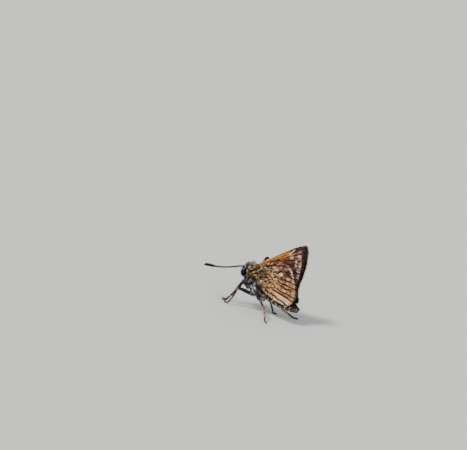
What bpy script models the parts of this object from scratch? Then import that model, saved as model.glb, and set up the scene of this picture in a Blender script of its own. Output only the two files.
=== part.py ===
"""A grass skipper butterfly, life size, standing on a level floor with its wings closed over its back.

Sizes are in millimetres and are turned into metres where a mesh is made. The head points
towards -X, the tail towards +X, the left side is -Y, and the feet stand on z = 0.
Body coordinates are (along, aside, above): along runs from the face to the tail tip, aside is
the distance from the body's midplane, and above is square to the body's axis on the back's side.
"""
import math

import bmesh
import bpy
import numpy as np
from mathutils import Vector
from mathutils.geometry import delaunay_2d_cdt

MM = 0.001
GAP = 0.3
THIN = 0.25

# The body's place and pitch: its face is at FACE, and its axis falls towards the tail.
FACE = (-4.72, -1.85, 8.31)
PITCH = math.radians(15.8)

# The eyes: middle of each dome's flat back, its half length, height and half width, and how far
# it is turned to the front.
EYE_MIDDLE = (1.5, 0.85, 0.33)
EYE_SIZE = (0.76, 0.72, 1.05)
EYE_BACK = 0.12
EYE_TURN = math.radians(24)

# The wings: thickness of the membrane, height and half width of a vein's ridge.
WING_THICK = 0.5
VEIN_HIGH = 0.1
VEIN_WIDE = 0.24
FRINGE = 0.6
FOREWING_HINGE = (3.3, 2.0)
FOREWING_TOP_SPREAD = 1.2
FOREWING_LOW_SPREAD = 0.5
FOREWING_ROOT_SPREAD = 1.6
HINDWING_HINGE = (4.8, 1.9)
HINDWING_SPREAD = 2.15
HINDWING_LOW_SPREAD = 0.95
HINDWING_OFF_FOREWING = 0.97
HINDWING_TUCK = {"left": 0.0, "right": 0.95}

# The legs: radii of their joints' tubes.
FEMUR_RADIUS = 0.4
TIBIA_RADIUS = 0.3
TARSUS_RADIUS = 0.25
SOLE_HIGH = TARSUS_RADIUS * math.cos(math.pi / 8)
TREAD = 0.85

# Each leg: where its coxa starts and ends on the left or right, in body coordinates, and then
# its knee, ankle and toe, as (x, distance from the midplane to the right, z) in the world.
LEGS = {
    "foreleg_left": dict(
        root=(3.4, -0.7, -1.0), coxa=(4.3, -0.75, -2.3), coxa_size=(0.62, 0.45),
        knee=(-3.13, -0.5, 6.0), ankle=(-4.69, -0.85, 2.73), toe=(-7.4, -0.96), spurs=0),
    "foreleg_right": dict(
        root=(3.4, 0.7, -1.0), coxa=(4.3, 0.75, -2.3), coxa_size=(0.62, 0.45),
        knee=(-3.25, 0.55, 5.9), ankle=(-4.95, 0.3, 2.65), toe=(-7.75, 0.0), spurs=0),
    "midleg_left": dict(
        root=(5.2, -0.8, -1.8), coxa=(6.1, -0.9, -3.0), coxa_size=(0.75, 0.48),
        knee=(-3.2, -2.2, 4.5), ankle=(-3.84, -2.4, 2.2), toe=(-5.86, -2.22), spurs=1),
    "midleg_right": dict(
        root=(5.2, 0.8, -1.8), coxa=(6.1, 0.9, -3.0), coxa_size=(0.75, 0.48),
        knee=(0.9, 3.3, 4.7), ankle=(3.65, 2.95, 1.9), toe=(5.6, 2.75), spurs=1),
    "hindleg_left": dict(
        root=(7.0, -0.8, -1.8), coxa=(7.9, -0.9, -2.9), coxa_size=(0.75, 0.48),
        knee=(2.75, -3.5, 5.0), ankle=(6.1, -4.6, 2.75), toe=(8.2, -6.16), spurs=2),
    "hindleg_right": dict(
        root=(7.0, 0.8, -1.8), coxa=(7.9, 0.9, -2.9), coxa_size=(0.75, 0.48),
        knee=(3.4, 3.9, 4.2), ankle=(6.2, 3.95, 1.45), toe=(10.2, 5.0), spurs=2),
}

# The body's lofts. A station is along, above, half width, height over and depth under that
# middle, and how far its top leans forward.
THORAX_STATIONS = [
    (2.75, 0.7, 0.9, 0.8, 0.9, 0.0),
    (2.95, 0.65, 1.35, 2.0, 1.4, 0.75),
    (3.25, 0.45, 1.7, 2.85, 2.0, 1.35),
    (3.9, 0.2, 1.9, 3.3, 2.45, 1.2),
    (4.8, 0.0, 2.0, 3.4, 2.8, 0.65),
    (6.0, -0.2, 1.95, 3.05, 2.95, 0.2),
    (7.2, -0.45, 1.85, 2.5, 2.85, 0.0),
    (8.2, -0.7, 1.65, 2.0, 2.7, 0.0),
    (8.75, -0.85, 1.4, 1.5, 2.2, 0.0),
]
HEAD_STATIONS = [
    (0.5, 0.1, 0.55, 0.85, 0.6, 0.0),
    (0.75, 0.15, 0.95, 1.5, 0.9, 0.0),
    (1.15, 0.25, 1.2, 2.0, 1.1, 0.15),
    (1.65, 0.3, 1.25, 2.15, 1.15, 0.3),
    (2.15, 0.35, 1.1, 1.9, 1.0, 0.35),
    (2.4, 0.4, 0.85, 1.3, 0.8, 0.2),
]
# The abdomen: the middles of its two ends, and its half height at the ends of its rings.
ABDOMEN_START = (9.05, -0.9)
ABDOMEN_END = (17.5, 0.05)
ABDOMEN_HALF = [1.35, 1.55, 1.62, 1.6, 1.52, 1.42, 1.26, 1.02, 0.62]
# The palps: eggs beside each other in front of the face, with their noses lifted.
PALP_MIDDLE = (0.65, 0.42, -0.1)
PALP_SIZE = (0.78, 0.33, 0.36)
PALP_LIFT = math.radians(62)
# The tegulae: the small scales over the wings' roots.
TEGULA_MIDDLE = (3.5, 1.55, 1.75)
TEGULA_SIZE = (0.95, 0.4, 0.55)
TEGULA_LIFT = 0.5

# The wings' outlines and veins in the body's plane, as (along, above). A vein is its start, a
# point that it bends by and its end.
FOREWING_OUTLINE = [
    (3.1, 2.6), (7.1, 8.5), (10.8, 13.15), (11.65, 13.65), (12.35, 13.15), (12.95, 12.1),
    (13.75, 10.3), (14.5, 7.6), (14.85, 5.6), (14.4, 4.7), (10.4, 2.9), (6.6, 1.5), (4.0, 0.9),
]
HINDWING_OUTLINE = [
    (4.9, 3.2), (6.1, 5.7), (8.0, 7.45), (10.1, 8.85), (11.3, 8.95), (12.6, 8.5),
    (13.8, 7.35), (14.65, 6.3), (15.45, 4.8), (16.0, 3.3), (16.15, 1.9), (15.6, 0.35),
    (14.4, 0.0), (12.2, -0.25), (9.6, -0.2), (7.8, 0.3), (5.9, 1.1),
]
FOREWING_VEINS = [
    [(3.4, 2.6), (6.4, 7.0), (9.2, 10.75)],
    [(3.5, 2.3), (6.3, 6.0), (8.9, 9.3)],
    [(3.7, 2.0), (7.0, 4.6), (10.3, 7.3)],
    [(8.9, 9.3), (9.7, 8.4), (10.3, 7.3)],
    [(7.3, 7.3), (8.9, 9.7), (10.1, 11.9)],
    [(8.1, 8.3), (9.7, 10.6), (10.9, 12.8)],
    [(8.9, 9.3), (10.3, 11.2), (11.6, 13.2)],
    [(8.9, 9.3), (10.7, 10.9), (12.4, 12.5)],
    [(9.4, 8.8), (11.2, 9.9), (13.1, 10.9)],
    [(9.7, 8.4), (11.6, 8.9), (13.6, 9.3)],
    [(10.3, 7.3), (12.0, 7.6), (13.9, 7.9)],
    [(9.4, 6.5), (11.7, 6.5), (14.2, 6.6)],
    [(7.9, 5.3), (11.0, 5.1), (14.3, 5.5)],
]
HINDWING_VEINS = [
    [(5.0, 2.4), (7.6, 6.3), (11.6, 8.4)],
    [(5.1, 2.2), (7.8, 4.9), (10.6, 5.9)],
    [(5.2, 1.9), (7.9, 3.0), (10.8, 3.9)],
    [(10.6, 5.9), (10.9, 4.9), (10.8, 3.9)],
    [(9.0, 5.5), (11.2, 6.9), (13.1, 7.6)],
    [(10.6, 5.9), (12.4, 6.4), (14.0, 6.5)],
    [(10.9, 4.9), (12.9, 5.3), (14.8, 5.5)],
    [(10.8, 3.9), (13.0, 4.2), (15.3, 4.5)],
    [(10.0, 3.6), (12.8, 3.3), (15.6, 3.5)],
    [(8.2, 3.1), (11.8, 2.3), (15.7, 2.5)],
    [(5.3, 1.6), (10.4, 1.3), (15.6, 1.5)],
    [(5.5, 1.4), (9.8, 0.45), (14.9, 0.65)],
]

# The spacing of a wing's points: on its outline, along its veins and in between.
RIM_STEP = 0.75
VEIN_STEP = 0.8
FIELD_STEP = 1.15

# The antennae: their bases on the head, and the points that each shaft and club pass through,
# as (x, distance from the midplane to the right, z) in the world.
ANTENNA_ROOT = (0.75, 0.5, 0.75)
ANTENNAE = {
    "left": [(-4.5, -0.7, 9.22), (-6.3, -1.6, 8.55), (-8.1, -2.45, 8.05), (-9.8, -3.2, 7.8),
             (-10.9, -3.7, 7.8), (-11.7, -4.1, 7.75), (-12.15, -4.35, 7.6)],
    "right": [(-4.5, 0.9, 9.15), (-4.15, 2.9, 8.65), (-3.85, 4.7, 8.3), (-3.6, 6.5, 8.25),
              (-3.5, 7.7, 8.75), (-3.5, 8.55, 9.75), (-3.35, 9.05, 10.4), (-2.8, 9.55, 10.42)],
}
SHAFT_RADIUS = 0.25
CLUB_RADIUS = 0.34

# Each kind of node's colour and roughness.
FINISHES = {
    "head": ((0.30, 0.27, 0.22), 0.9),
    "palp": ((0.62, 0.52, 0.38), 0.9),
    "eye": ((0.05, 0.04, 0.09), 0.15),
    "antenna": ((0.05, 0.035, 0.03), 0.6),
    "thorax": ((0.24, 0.22, 0.20), 0.95),
    "abdomen": ((0.20, 0.17, 0.15), 0.9),
    "forewing": ((0.36, 0.19, 0.08), 0.8),
    "hindwing": ((0.40, 0.25, 0.12), 0.8),
    "foreleg": ((0.12, 0.09, 0.10), 0.7),
    "midleg": ((0.14, 0.10, 0.09), 0.7),
    "hindleg": ((0.14, 0.10, 0.08), 0.7),
}


def body_point(along, aside, above):
    """A point given in body coordinates, in world millimetres."""
    x = FACE[0] + along * math.cos(PITCH) + above * math.sin(PITCH)
    z = FACE[2] - along * math.sin(PITCH) + above * math.cos(PITCH)
    return Vector((x, FACE[1] + aside, z))


def beside(point):
    """A leg's point, whose middle value counts from the body's midplane, in the world."""
    return Vector((point[0], FACE[1] + point[1], point[2]))


def smooth(edge0, edge1, x):
    """0 below edge0, 1 above edge1 and a soft step between them."""
    x = min(1.0, max(0.0, (x - edge0) / (edge1 - edge0)))
    return x * x * (3.0 - 2.0 * x)


def spline(points, steps, closed=False):
    """A Catmull-Rom curve through the points, with steps pieces between each two of them."""
    points = np.array(points, float)
    n = len(points)
    out = []
    for i in range(n if closed else n - 1):
        if closed:
            a, b, c, d = (points[(i + k) % n] for k in (-1, 0, 1, 2))
        else:
            a, b, c, d = (points[min(max(i + k, 0), n - 1)] for k in (-1, 0, 1, 2))
        for s in range(steps):
            t = s / steps
            out.append(0.5 * (2 * b + (c - a) * t + (2 * a - 5 * b + 4 * c - d) * t ** 2
                              + (3 * b - a - 3 * c + d) * t ** 3))
    if not closed:
        out.append(points[-1])
    return out


def solid(name, verts, faces):
    """An object from vertices in millimetres, with its faces turned to point out."""
    mesh = bpy.data.meshes.new(name)
    mesh.from_pydata([tuple(c * MM for c in v) for v in verts], [], faces)
    bm = bmesh.new()
    bm.from_mesh(mesh)
    bmesh.ops.recalc_face_normals(bm, faces=bm.faces)
    bmesh.ops.triangulate(bm, faces=bm.faces)
    bm.to_mesh(mesh)
    bm.free()
    obj = bpy.data.objects.new(name, mesh)
    bpy.context.scene.collection.objects.link(obj)
    return obj


def skin_rings(name, rings):
    """A closed solid through rings of points, closed by a point in the middle of each end."""
    sides = len(rings[0])
    verts = [p for ring in rings for p in ring]
    faces = []
    for r in range(len(rings) - 1):
        for s in range(sides):
            t = (s + 1) % sides
            faces.append((r * sides + s, r * sides + t, (r + 1) * sides + t, (r + 1) * sides + s))
    for ring, first in ((rings[0], 0), (rings[-1], (len(rings) - 1) * sides)):
        middle = len(verts)
        verts.append(sum(ring, Vector()) / sides)
        for s in range(sides):
            faces.append((first + s, first + (s + 1) % sides, middle))
    return solid(name, verts, faces)


def body_form(name, stations, sides, steps, grow=0.0):
    """A lofted part of the body. A station is along, above, half width, height over and depth
    under that middle, and how far its top leans forward."""
    rows = spline(stations, steps)
    rows[0][0] -= grow
    rows[-1][0] += grow
    rings = []
    for along, middle, wide, over, under, lean in rows:
        ring = []
        for k in range(sides):
            turn = 2 * math.pi * (k + 0.5) / sides
            up = math.cos(turn)
            height = (over + grow if up > 0 else under + grow) * up
            forward = lean * max(0.0, up) ** 1.5
            ring.append(body_point(along - forward, (wide + grow) * math.sin(turn), middle + height))
        rings.append(ring)
    return skin_rings(name, rings)


def tube(name, path, radii, sides=8, grow=0.0):
    """A closed tube along the path. Its rings are carried back from its last point, where one
    flat side faces down."""
    path = [Vector(p) for p in path]
    n = len(path)
    along = []
    for i in range(n):
        step = path[min(i + 1, n - 1)] - path[max(i - 1, 0)]
        along.append(step.normalized())
    up = Vector((0, 0, 1))
    if abs(along[-1].z) > 0.95:
        up = Vector((1, 0, 0))
    path[0] = path[0] - along[0] * grow
    path[-1] = path[-1] + along[-1] * grow
    rings = []
    for i in reversed(range(n)):
        up = (up - along[i] * up.dot(along[i])).normalized()
        side = along[i].cross(up)
        ring = []
        for k in range(sides):
            turn = 2 * math.pi * (k + 0.5) / sides
            ring.append(path[i] + (up * math.cos(turn) + side * math.sin(turn)) * (radii[i] + grow))
        rings.append(ring)
    return skin_rings(name, rings)


def egg(name, middle, size, sides=12, rows=8, lift=0.0, grow=0.0):
    """An egg in body coordinates, with half sizes along, aside and above, its nose lifted by an
    angle."""
    rings = []
    for r in range(rows + 1):
        turn = math.pi * (0.06 + 0.88 * r / rows)
        ring = []
        for s in range(sides):
            spin = 2 * math.pi * (s + 0.5) / sides
            a = -math.cos(turn) * (size[0] + grow)
            b = math.sin(turn) * math.cos(spin) * (size[1] + grow)
            c = math.sin(turn) * math.sin(spin) * (size[2] + grow)
            along = a * math.cos(lift) + c * math.sin(lift)
            above = -a * math.sin(lift) + c * math.cos(lift)
            ring.append(body_point(middle[0] + along, middle[1] + b, middle[2] + above))
        rings.append(ring)
    return skin_rings(name, rings)


def join(name, pieces):
    """One body from overlapping closed pieces."""
    first = pieces[0]
    first.name = name
    group = bpy.data.collections.new(name + "_pieces")
    bpy.context.scene.collection.children.link(group)
    for piece in pieces[1:]:
        group.objects.link(piece)
        bpy.context.scene.collection.objects.unlink(piece)
    combine(first, group, "UNION")
    return first


def carve(obj, cutters):
    """Takes the cutters out of an object and keeps its largest closed surface."""
    group = bpy.data.collections.new(obj.name + "_cutters")
    bpy.context.scene.collection.children.link(group)
    for cutter in cutters:
        cutter.hide_render = True
        cutter.display_type = "WIRE"
        group.objects.link(cutter)
        bpy.context.scene.collection.objects.unlink(cutter)
    combine(obj, group, "DIFFERENCE")
    return obj


def combine(obj, group, operation):
    """Applies one Boolean of a collection to an object and removes the collection."""
    modifier = obj.modifiers.new("combine", "BOOLEAN")
    modifier.operation = operation
    modifier.operand_type = "COLLECTION"
    modifier.collection = group
    modifier.solver = "EXACT"
    graph = bpy.context.evaluated_depsgraph_get()
    mesh = bpy.data.meshes.new_from_object(obj.evaluated_get(graph), depsgraph=graph)
    obj.modifiers.remove(modifier)
    old = obj.data
    obj.data = mesh
    mesh.name = obj.name
    bpy.data.meshes.remove(old)
    for piece in list(group.objects):
        bpy.data.objects.remove(piece, do_unlink=True)
    bpy.data.collections.remove(group)
    keep_largest(obj.data)


def keep_largest(mesh):
    """Leaves only the largest closed surface of a mesh."""
    bm = bmesh.new()
    bm.from_mesh(mesh)
    bmesh.ops.remove_doubles(bm, verts=bm.verts, dist=0.002 * MM)
    left = set(bm.verts)
    shells = []
    while left:
        seed = left.pop()
        shell = {seed}
        edge = [seed]
        while edge:
            for link in edge.pop().link_edges:
                for vert in link.verts:
                    if vert in left:
                        left.remove(vert)
                        shell.add(vert)
                        edge.append(vert)
        shells.append(shell)
    shells.sort(key=spread_of, reverse=True)
    for shell in shells[1:]:
        bmesh.ops.delete(bm, geom=list(shell), context="VERTS")
    bmesh.ops.triangulate(bm, faces=bm.faces)
    bm.to_mesh(mesh)
    bm.free()


def spread_of(shell):
    """How far a shell's vertices reach, as the diagonal of their box."""
    points = np.array([v.co[:] for v in shell])
    return float(np.linalg.norm(points.max(0) - points.min(0)))


def coxa(spec, grow=0.0):
    """The cone between the thorax and one leg."""
    ends = [body_point(*spec["root"]), body_point(*spec["coxa"])]
    return tube("coxa", ends, spec["coxa_size"], 10, grow)


def tegula(side, grow=0.0):
    """The small scale over a wing's root, as a low bump on the thorax."""
    middle = (TEGULA_MIDDLE[0], side * TEGULA_MIDDLE[1], TEGULA_MIDDLE[2])
    return egg("tegula", middle, TEGULA_SIZE, 10, 6, TEGULA_LIFT, grow)


def thorax_pieces(grow=0.0):
    """The trunk between head and abdomen, with the six coxae and the two tegulae on it."""
    pieces = [body_form("trunk", THORAX_STATIONS, 24, 2, grow)]
    pieces += [coxa(spec, grow) for spec in LEGS.values()]
    pieces += [tegula(side, grow) for side in (-1, 1)]
    return pieces


def make_thorax():
    return join("thorax", thorax_pieces())


def palp(side, grow=0.0):
    middle = (PALP_MIDDLE[0], side * PALP_MIDDLE[1], PALP_MIDDLE[2])
    return egg("palp", middle, PALP_SIZE, 10, 8, PALP_LIFT, grow)


def eye(side, grow=0.0):
    """A dome that stands out of the side of the head, flat on its inner side."""
    reach = EYE_SIZE[1] + grow
    last = math.acos((EYE_BACK - grow) / reach)
    rows, sides = 8, 20
    rings = []
    for r in range(rows + 1):
        turn = 0.12 + (last - 0.12) * r / rows
        ring = []
        for s in range(sides):
            spin = 2 * math.pi * s / sides
            length = (EYE_SIZE[0] + grow) * math.sin(turn) * math.cos(spin)
            out = reach * math.cos(turn)
            above = EYE_MIDDLE[2] + (EYE_SIZE[2] + grow) * math.sin(turn) * math.sin(spin)
            along = EYE_MIDDLE[0] + length * math.cos(EYE_TURN) - out * math.sin(EYE_TURN)
            aside = EYE_MIDDLE[1] + length * math.sin(EYE_TURN) + out * math.cos(EYE_TURN)
            ring.append(body_point(along, side * aside, above))
        rings.append(ring)
    return skin_rings("eye", rings)


def make_head():
    head = body_form("head", HEAD_STATIONS, 24, 2)
    cutters = [eye(side, THIN) for side in (-1, 1)]
    cutters += [palp(side, THIN) for side in (-1, 1)]
    cutters.append(body_form("nape", THORAX_STATIONS, 24, 2, GAP))
    return carve(head, cutters)


def make_abdomen():
    """Eight rings that each widen a little to their rear edge, and a blunt tip."""
    rings_of_body = len(ABDOMEN_HALF) - 1
    length = ABDOMEN_END[0] - ABDOMEN_START[0]
    stations = []
    for k in range(rings_of_body):
        for part, swell in ((0.0, 0.955), (0.5, 1.01), (0.9, 1.035)):
            f = (k + part) / rings_of_body
            half = ABDOMEN_HALF[k] * (1 - part) + ABDOMEN_HALF[k + 1] * part
            above = ABDOMEN_START[1] + (ABDOMEN_END[1] - ABDOMEN_START[1]) * f
            along = ABDOMEN_START[0] + length * f
            stations.append((along, above, half * swell, half * swell * 1.03, half * swell * 1.06, 0.0))
    half = ABDOMEN_HALF[-1]
    stations.append((ABDOMEN_END[0] - 0.08, ABDOMEN_END[1], half, half, half, 0.0))
    stations.append((ABDOMEN_END[0], ABDOMEN_END[1], half * 0.55, half * 0.55, half * 0.55, 0.0))
    return body_form("abdomen", stations, 20, 1)


def forewing_spread(along, above):
    """How far the forewing's middle lies from the midplane."""
    x, y = along - FOREWING_HINGE[0], above - FOREWING_HINGE[1]
    far = smooth(math.radians(12), math.radians(50), math.atan2(y, x))
    spread = FOREWING_LOW_SPREAD + (FOREWING_TOP_SPREAD - FOREWING_LOW_SPREAD) * far
    return spread + (FOREWING_ROOT_SPREAD - spread) * math.exp(-math.hypot(x, y) / 3.0)


def hindwing_spread(along, above):
    """How far the hindwing's middle lies from the midplane. It lies outside the abdomen and the
    forewing, and draws in between and behind them. Its anal field is pleated."""
    x, y = along - HINDWING_HINGE[0], above - HINDWING_HINGE[1]
    reach, angle = math.hypot(x, y), math.degrees(math.atan2(y, x))
    spread = min(HINDWING_SPREAD, forewing_spread(along, above) + HINDWING_OFF_FOREWING)
    spread += (HINDWING_LOW_SPREAD - spread) * (1.0 - smooth(9.0, 16.0, angle))
    drawn_in = smooth(-9.0, 3.0, angle) * smooth(5.5, 10.0, reach)
    pleat = 0.14 * math.sin(math.radians(angle * 40.0)) * smooth(4.0, 8.0, reach)
    pleat *= 1.0 - smooth(1.0, 5.0, angle)
    return HINDWING_SPREAD + (spread - HINDWING_SPREAD) * drawn_in + max(pleat, -0.02)


def near_distance(point, lines):
    """The distance from a point to the nearest of some open lines."""
    best = 1e9
    for line in lines:
        a, b = line[:-1], line[1:]
        run = b - a
        t = np.clip(((point - a) * run).sum(1) / (run * run).sum(1), 0, 1)
        best = min(best, float(np.linalg.norm(a + run * t[:, None] - point, axis=1).min()))
    return best


def inside(point, ring):
    """Whether a point lies inside a closed line."""
    x, y = point
    a, b = ring, np.roll(ring, -1, axis=0)
    across = (a[:, 1] > y) != (b[:, 1] > y)
    a, b = a[across], b[across]
    hits = a[:, 0] + (y - a[:, 1]) / (b[:, 1] - a[:, 1]) * (b[:, 0] - a[:, 0])
    return int((hits > x).sum()) % 2 == 1


def spaced(line, step):
    """Points at even distances along a line."""
    line = np.array(line)
    runs = np.concatenate([[0], np.cumsum(np.linalg.norm(np.diff(line, axis=0), axis=1))])
    count = max(2, round(runs[-1] / step) + 1)
    at = np.linspace(0, runs[-1], count)
    return np.stack([np.interp(at, runs, line[:, k]) for k in (0, 1)], axis=1)


def wing_plan(outline, veins):
    """The flat triangulation of a wing: points, triangles, and each point's ridge height."""
    ring = spline(outline, 10, closed=True)
    ring = spaced(ring + [ring[0]], RIM_STEP)[:-1]
    lines = [spaced(spline(vein, 8), VEIN_STEP) for vein in veins]
    points = list(ring)
    edges = [(i, (i + 1) % len(ring)) for i in range(len(ring))]
    rim = np.vstack([ring, ring[:1]])

    def place(point):
        """The number of a point, which is shared with one that is already there."""
        gaps = [np.hypot(*(point - p)) for p in points[len(ring):]]
        if gaps and min(gaps) < 0.12:
            return len(ring) + int(np.argmin(gaps))
        points.append(point)
        return len(points) - 1

    centres = []
    for line in lines:
        line = np.array([p for p in line if inside(p, ring) and near_distance(p, [rim]) > 0.2])
        numbers = [place(p) for p in line]
        edges += [(a, b) for a, b in zip(numbers, numbers[1:]) if a != b]
        centres.append(line)
    for line in centres:
        run = np.gradient(line, axis=0)
        run /= np.linalg.norm(run, axis=1)[:, None]
        beside_it = np.stack([-run[:, 1], run[:, 0]], axis=1) * VEIN_WIDE
        for side in (-1, 1):
            for p in line + side * beside_it:
                free = near_distance(p, centres) > 0.75 * VEIN_WIDE
                if free and inside(p, ring) and near_distance(p, [rim]) > 0.2:
                    if min(np.hypot(*(p - q)) for q in points) > 0.2:
                        points.append(p)
    low, high = ring.min(0), ring.max(0)
    row_step = FIELD_STEP * math.cos(math.radians(30))
    for row in range(int((high[1] - low[1]) / row_step) + 1):
        for column in range(int((high[0] - low[0]) / FIELD_STEP) + 1):
            p = low + np.array([(column + 0.5 * (row % 2)) * FIELD_STEP, row * row_step])
            if inside(p, ring) and near_distance(p, [rim]) > 0.45:
                if min(np.hypot(*(p - q)) for q in points) > 0.5:
                    points.append(p)
    flat = [Vector((p[0], p[1])) for p in points]
    found = delaunay_2d_cdt(flat, edges, [list(range(len(ring)))], 1, 0.0005)
    plan = [np.array(v[:]) for v in found[0]]
    ridge = [VEIN_HIGH * max(0.0, 1 - near_distance(p, centres) / VEIN_WIDE) for p in plan]
    for k, p in enumerate(plan):
        ridge[k] *= smooth(0.1, FRINGE, near_distance(p, [rim]))
    return plan, found[2], ridge


def make_wing(name, side, plan, spread, tuck=0.0):
    """A wing whose two faces have the same triangles, with its veins raised on both. Tuck draws
    its outer part forward."""
    points, triangles, ridge = plan
    half = WING_THICK / 2
    count = len(points)
    verts = []
    for face in (1, -1):
        for p, high in zip(points, ridge):
            along = p[0] - tuck * smooth(8.0, 15.0, p[0])
            aside = spread(along, p[1]) + face * (half + high)
            verts.append(body_point(along, side * aside, p[1]))
    faces = [tuple(t) for t in triangles]
    rim = {}
    for a, b, c in faces:
        for edge in ((a, b), (b, c), (c, a)):
            rim[edge] = rim.get(edge, 0) + 1
    walls = [(a, b) for a, b in rim if (b, a) not in rim]
    faces += [(a + count, c + count, b + count) for a, b, c in triangles]
    faces += [(b, a, a + count, b + count) for a, b in walls]
    return solid(name, verts, faces)


def make_forewing(side_name, side, plan):
    wing = make_wing("forewing_" + side_name, side, plan, forewing_spread)
    return carve(wing, [body_form("trunk_space", THORAX_STATIONS, 24, 2, GAP), tegula(side, GAP)])


def make_hindwing(side_name, side, plan):
    wing = make_wing("hindwing_" + side_name, side, plan, hindwing_spread, HINDWING_TUCK[side_name])
    return carve(wing, [body_form("trunk_space", THORAX_STATIONS, 24, 2, GAP), tegula(side, GAP)])


def limb(start, end, radii, bulge=1.0):
    """One straight length of a leg, a little thicker in its middle."""
    start, end = Vector(start), Vector(end)
    path = [start.lerp(end, f) for f in (0, 0.35, 0.7, 1)]
    a, b = radii
    return tube("limb", path, [a, (a * 0.65 + b * 0.35) * bulge, (a * 0.3 + b * 0.7) * bulge, b])


def make_leg(name, spec):
    """Femur, tibia and five-jointed tarsus, with the tarsus's end laid flat on the floor."""
    hip = body_point(*spec["coxa"])
    knee, ankle = beside(spec["knee"]), beside(spec["ankle"])
    toe = beside(spec["toe"] + (SOLE_HIGH,))
    flat = Vector((toe.x - ankle.x, toe.y - ankle.y, 0)).normalized()
    heel = toe - flat * TREAD
    bent = heel.lerp(ankle, 0.16) - Vector((0, 0, 0.12))
    bent.z = max(bent.z, SOLE_HIGH + 0.05)
    thigh = (knee - hip).normalized()
    pieces = [limb(hip - thigh * 0.5, knee, (FEMUR_RADIUS, FEMUR_RADIUS * 0.8), 1.08)]
    pieces.append(limb(knee, ankle, (TIBIA_RADIUS, TIBIA_RADIUS * 0.92), 1.05))
    path = [ankle, ankle.lerp(bent, 0.5), bent, heel, heel.lerp(toe, 0.5), toe - flat * 0.25, toe]
    sizes = [TARSUS_RADIUS] * 6 + [TARSUS_RADIUS * 0.85]
    pieces.append(tube("tarsus", path, sizes))
    shin = (ankle - knee).normalized()
    out = shin.cross(Vector((0, 0, 1))).normalized()
    for pair in range(spec["spurs"]):
        foot = knee.lerp(ankle, 0.95 - 0.42 * pair)
        for turn in (-1, 1):
            tip = foot + (shin * 0.95 + out * turn * 0.42)
            pieces.append(tube("spur", [foot, foot.lerp(tip, 0.5), tip], [0.22, 0.17, 0.08], 6))
    leg = join(name, pieces)
    for vert in leg.data.vertices:
        if vert.co.z < 0.02 * MM:
            vert.co.z = 0.0
    return carve(leg, [body_form("trunk_space", THORAX_STATIONS, 24, 2, GAP), coxa(spec, GAP)])


def make_antenna(side_name, side):
    """A shaft that swells into a club and ends in a short bent point."""
    root = body_point(ANTENNA_ROOT[0], side * ANTENNA_ROOT[1], ANTENNA_ROOT[2])
    path = spline([root] + [beside(p) for p in ANTENNAE[side_name]], 3)
    path = [Vector(p) for p in path]
    runs = [0.0]
    for a, b in zip(path, path[1:]):
        runs.append(runs[-1] + (b - a).length)
    radii = []
    for run in runs:
        left = runs[-1] - run
        club = smooth(3.0, 2.1, left) * smooth(0.35, 1.0, left)
        tip = SHAFT_RADIUS * (0.45 + 0.55 * smooth(0.0, 0.6, left))
        radii.append(tip + (CLUB_RADIUS - SHAFT_RADIUS) * club)
    antenna = tube("antenna_" + side_name, path, radii)
    return carve(antenna, [body_form("head_space", HEAD_STATIONS, 24, 2, GAP)])


def material(name, colour, roughness, metallic=0.0):
    made = bpy.data.materials.new(name)
    made.use_nodes = True
    shader = made.node_tree.nodes["Principled BSDF"]
    shader.inputs["Base Color"].default_value = (*colour, 1.0)
    shader.inputs["Roughness"].default_value = roughness
    shader.inputs["Metallic"].default_value = metallic
    return made


def finish(obj):
    """Gives an object its material and smooth shading with its real edges kept."""
    colour, roughness = FINISHES[obj.name.split("_")[0]]
    obj.data.materials.clear()
    obj.data.materials.append(material(obj.name, colour, roughness))
    obj.data.shade_smooth()
    obj.data.set_sharp_from_angle(angle=math.radians(45))


def main():
    for obj in list(bpy.data.objects):
        bpy.data.objects.remove(obj, do_unlink=True)
    nodes = [make_thorax(), make_head(), make_abdomen()]
    forewing_plan = wing_plan(FOREWING_OUTLINE, FOREWING_VEINS)
    hindwing_plan = wing_plan(HINDWING_OUTLINE, HINDWING_VEINS)
    for side_name, side in (("left", -1), ("right", 1)):
        dome = eye(side)
        dome.name = "eye_" + side_name
        feeler = palp(side)
        feeler.name = "palp_" + side_name
        nodes += [dome, feeler, make_antenna(side_name, side)]
        nodes.append(make_forewing(side_name, side, forewing_plan))
        nodes.append(make_hindwing(side_name, side, hindwing_plan))
    for name, spec in LEGS.items():
        nodes.append(make_leg(name, spec))
    for node in nodes:
        finish(node)


main()
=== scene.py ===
"""The looks of a grass skipper butterfly, life size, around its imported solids.

Sizes are in millimetres and become metres where a mesh is made. Body coordinates are (along,
aside, above): from the face to the tail tip, to the animal's right, and out of its back.
"""

import functools
import itertools
import math

import bmesh
import bpy
import numpy as np
from mathutils import Matrix, Vector
from mathutils.geometry import delaunay_2d_cdt

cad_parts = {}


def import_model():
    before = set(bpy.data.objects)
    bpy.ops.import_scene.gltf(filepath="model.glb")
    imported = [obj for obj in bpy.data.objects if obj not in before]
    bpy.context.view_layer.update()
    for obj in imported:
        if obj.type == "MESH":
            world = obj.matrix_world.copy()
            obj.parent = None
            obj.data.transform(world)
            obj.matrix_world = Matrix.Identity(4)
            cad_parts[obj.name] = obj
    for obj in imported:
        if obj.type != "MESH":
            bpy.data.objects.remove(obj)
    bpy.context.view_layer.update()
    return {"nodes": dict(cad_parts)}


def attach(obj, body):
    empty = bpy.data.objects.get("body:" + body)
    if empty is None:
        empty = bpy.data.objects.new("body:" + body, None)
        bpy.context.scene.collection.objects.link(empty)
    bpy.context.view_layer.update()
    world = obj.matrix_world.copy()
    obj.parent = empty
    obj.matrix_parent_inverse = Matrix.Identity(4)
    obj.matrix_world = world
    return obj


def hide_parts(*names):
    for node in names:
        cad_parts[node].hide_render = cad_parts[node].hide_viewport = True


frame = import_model()

MM = 0.001

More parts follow.
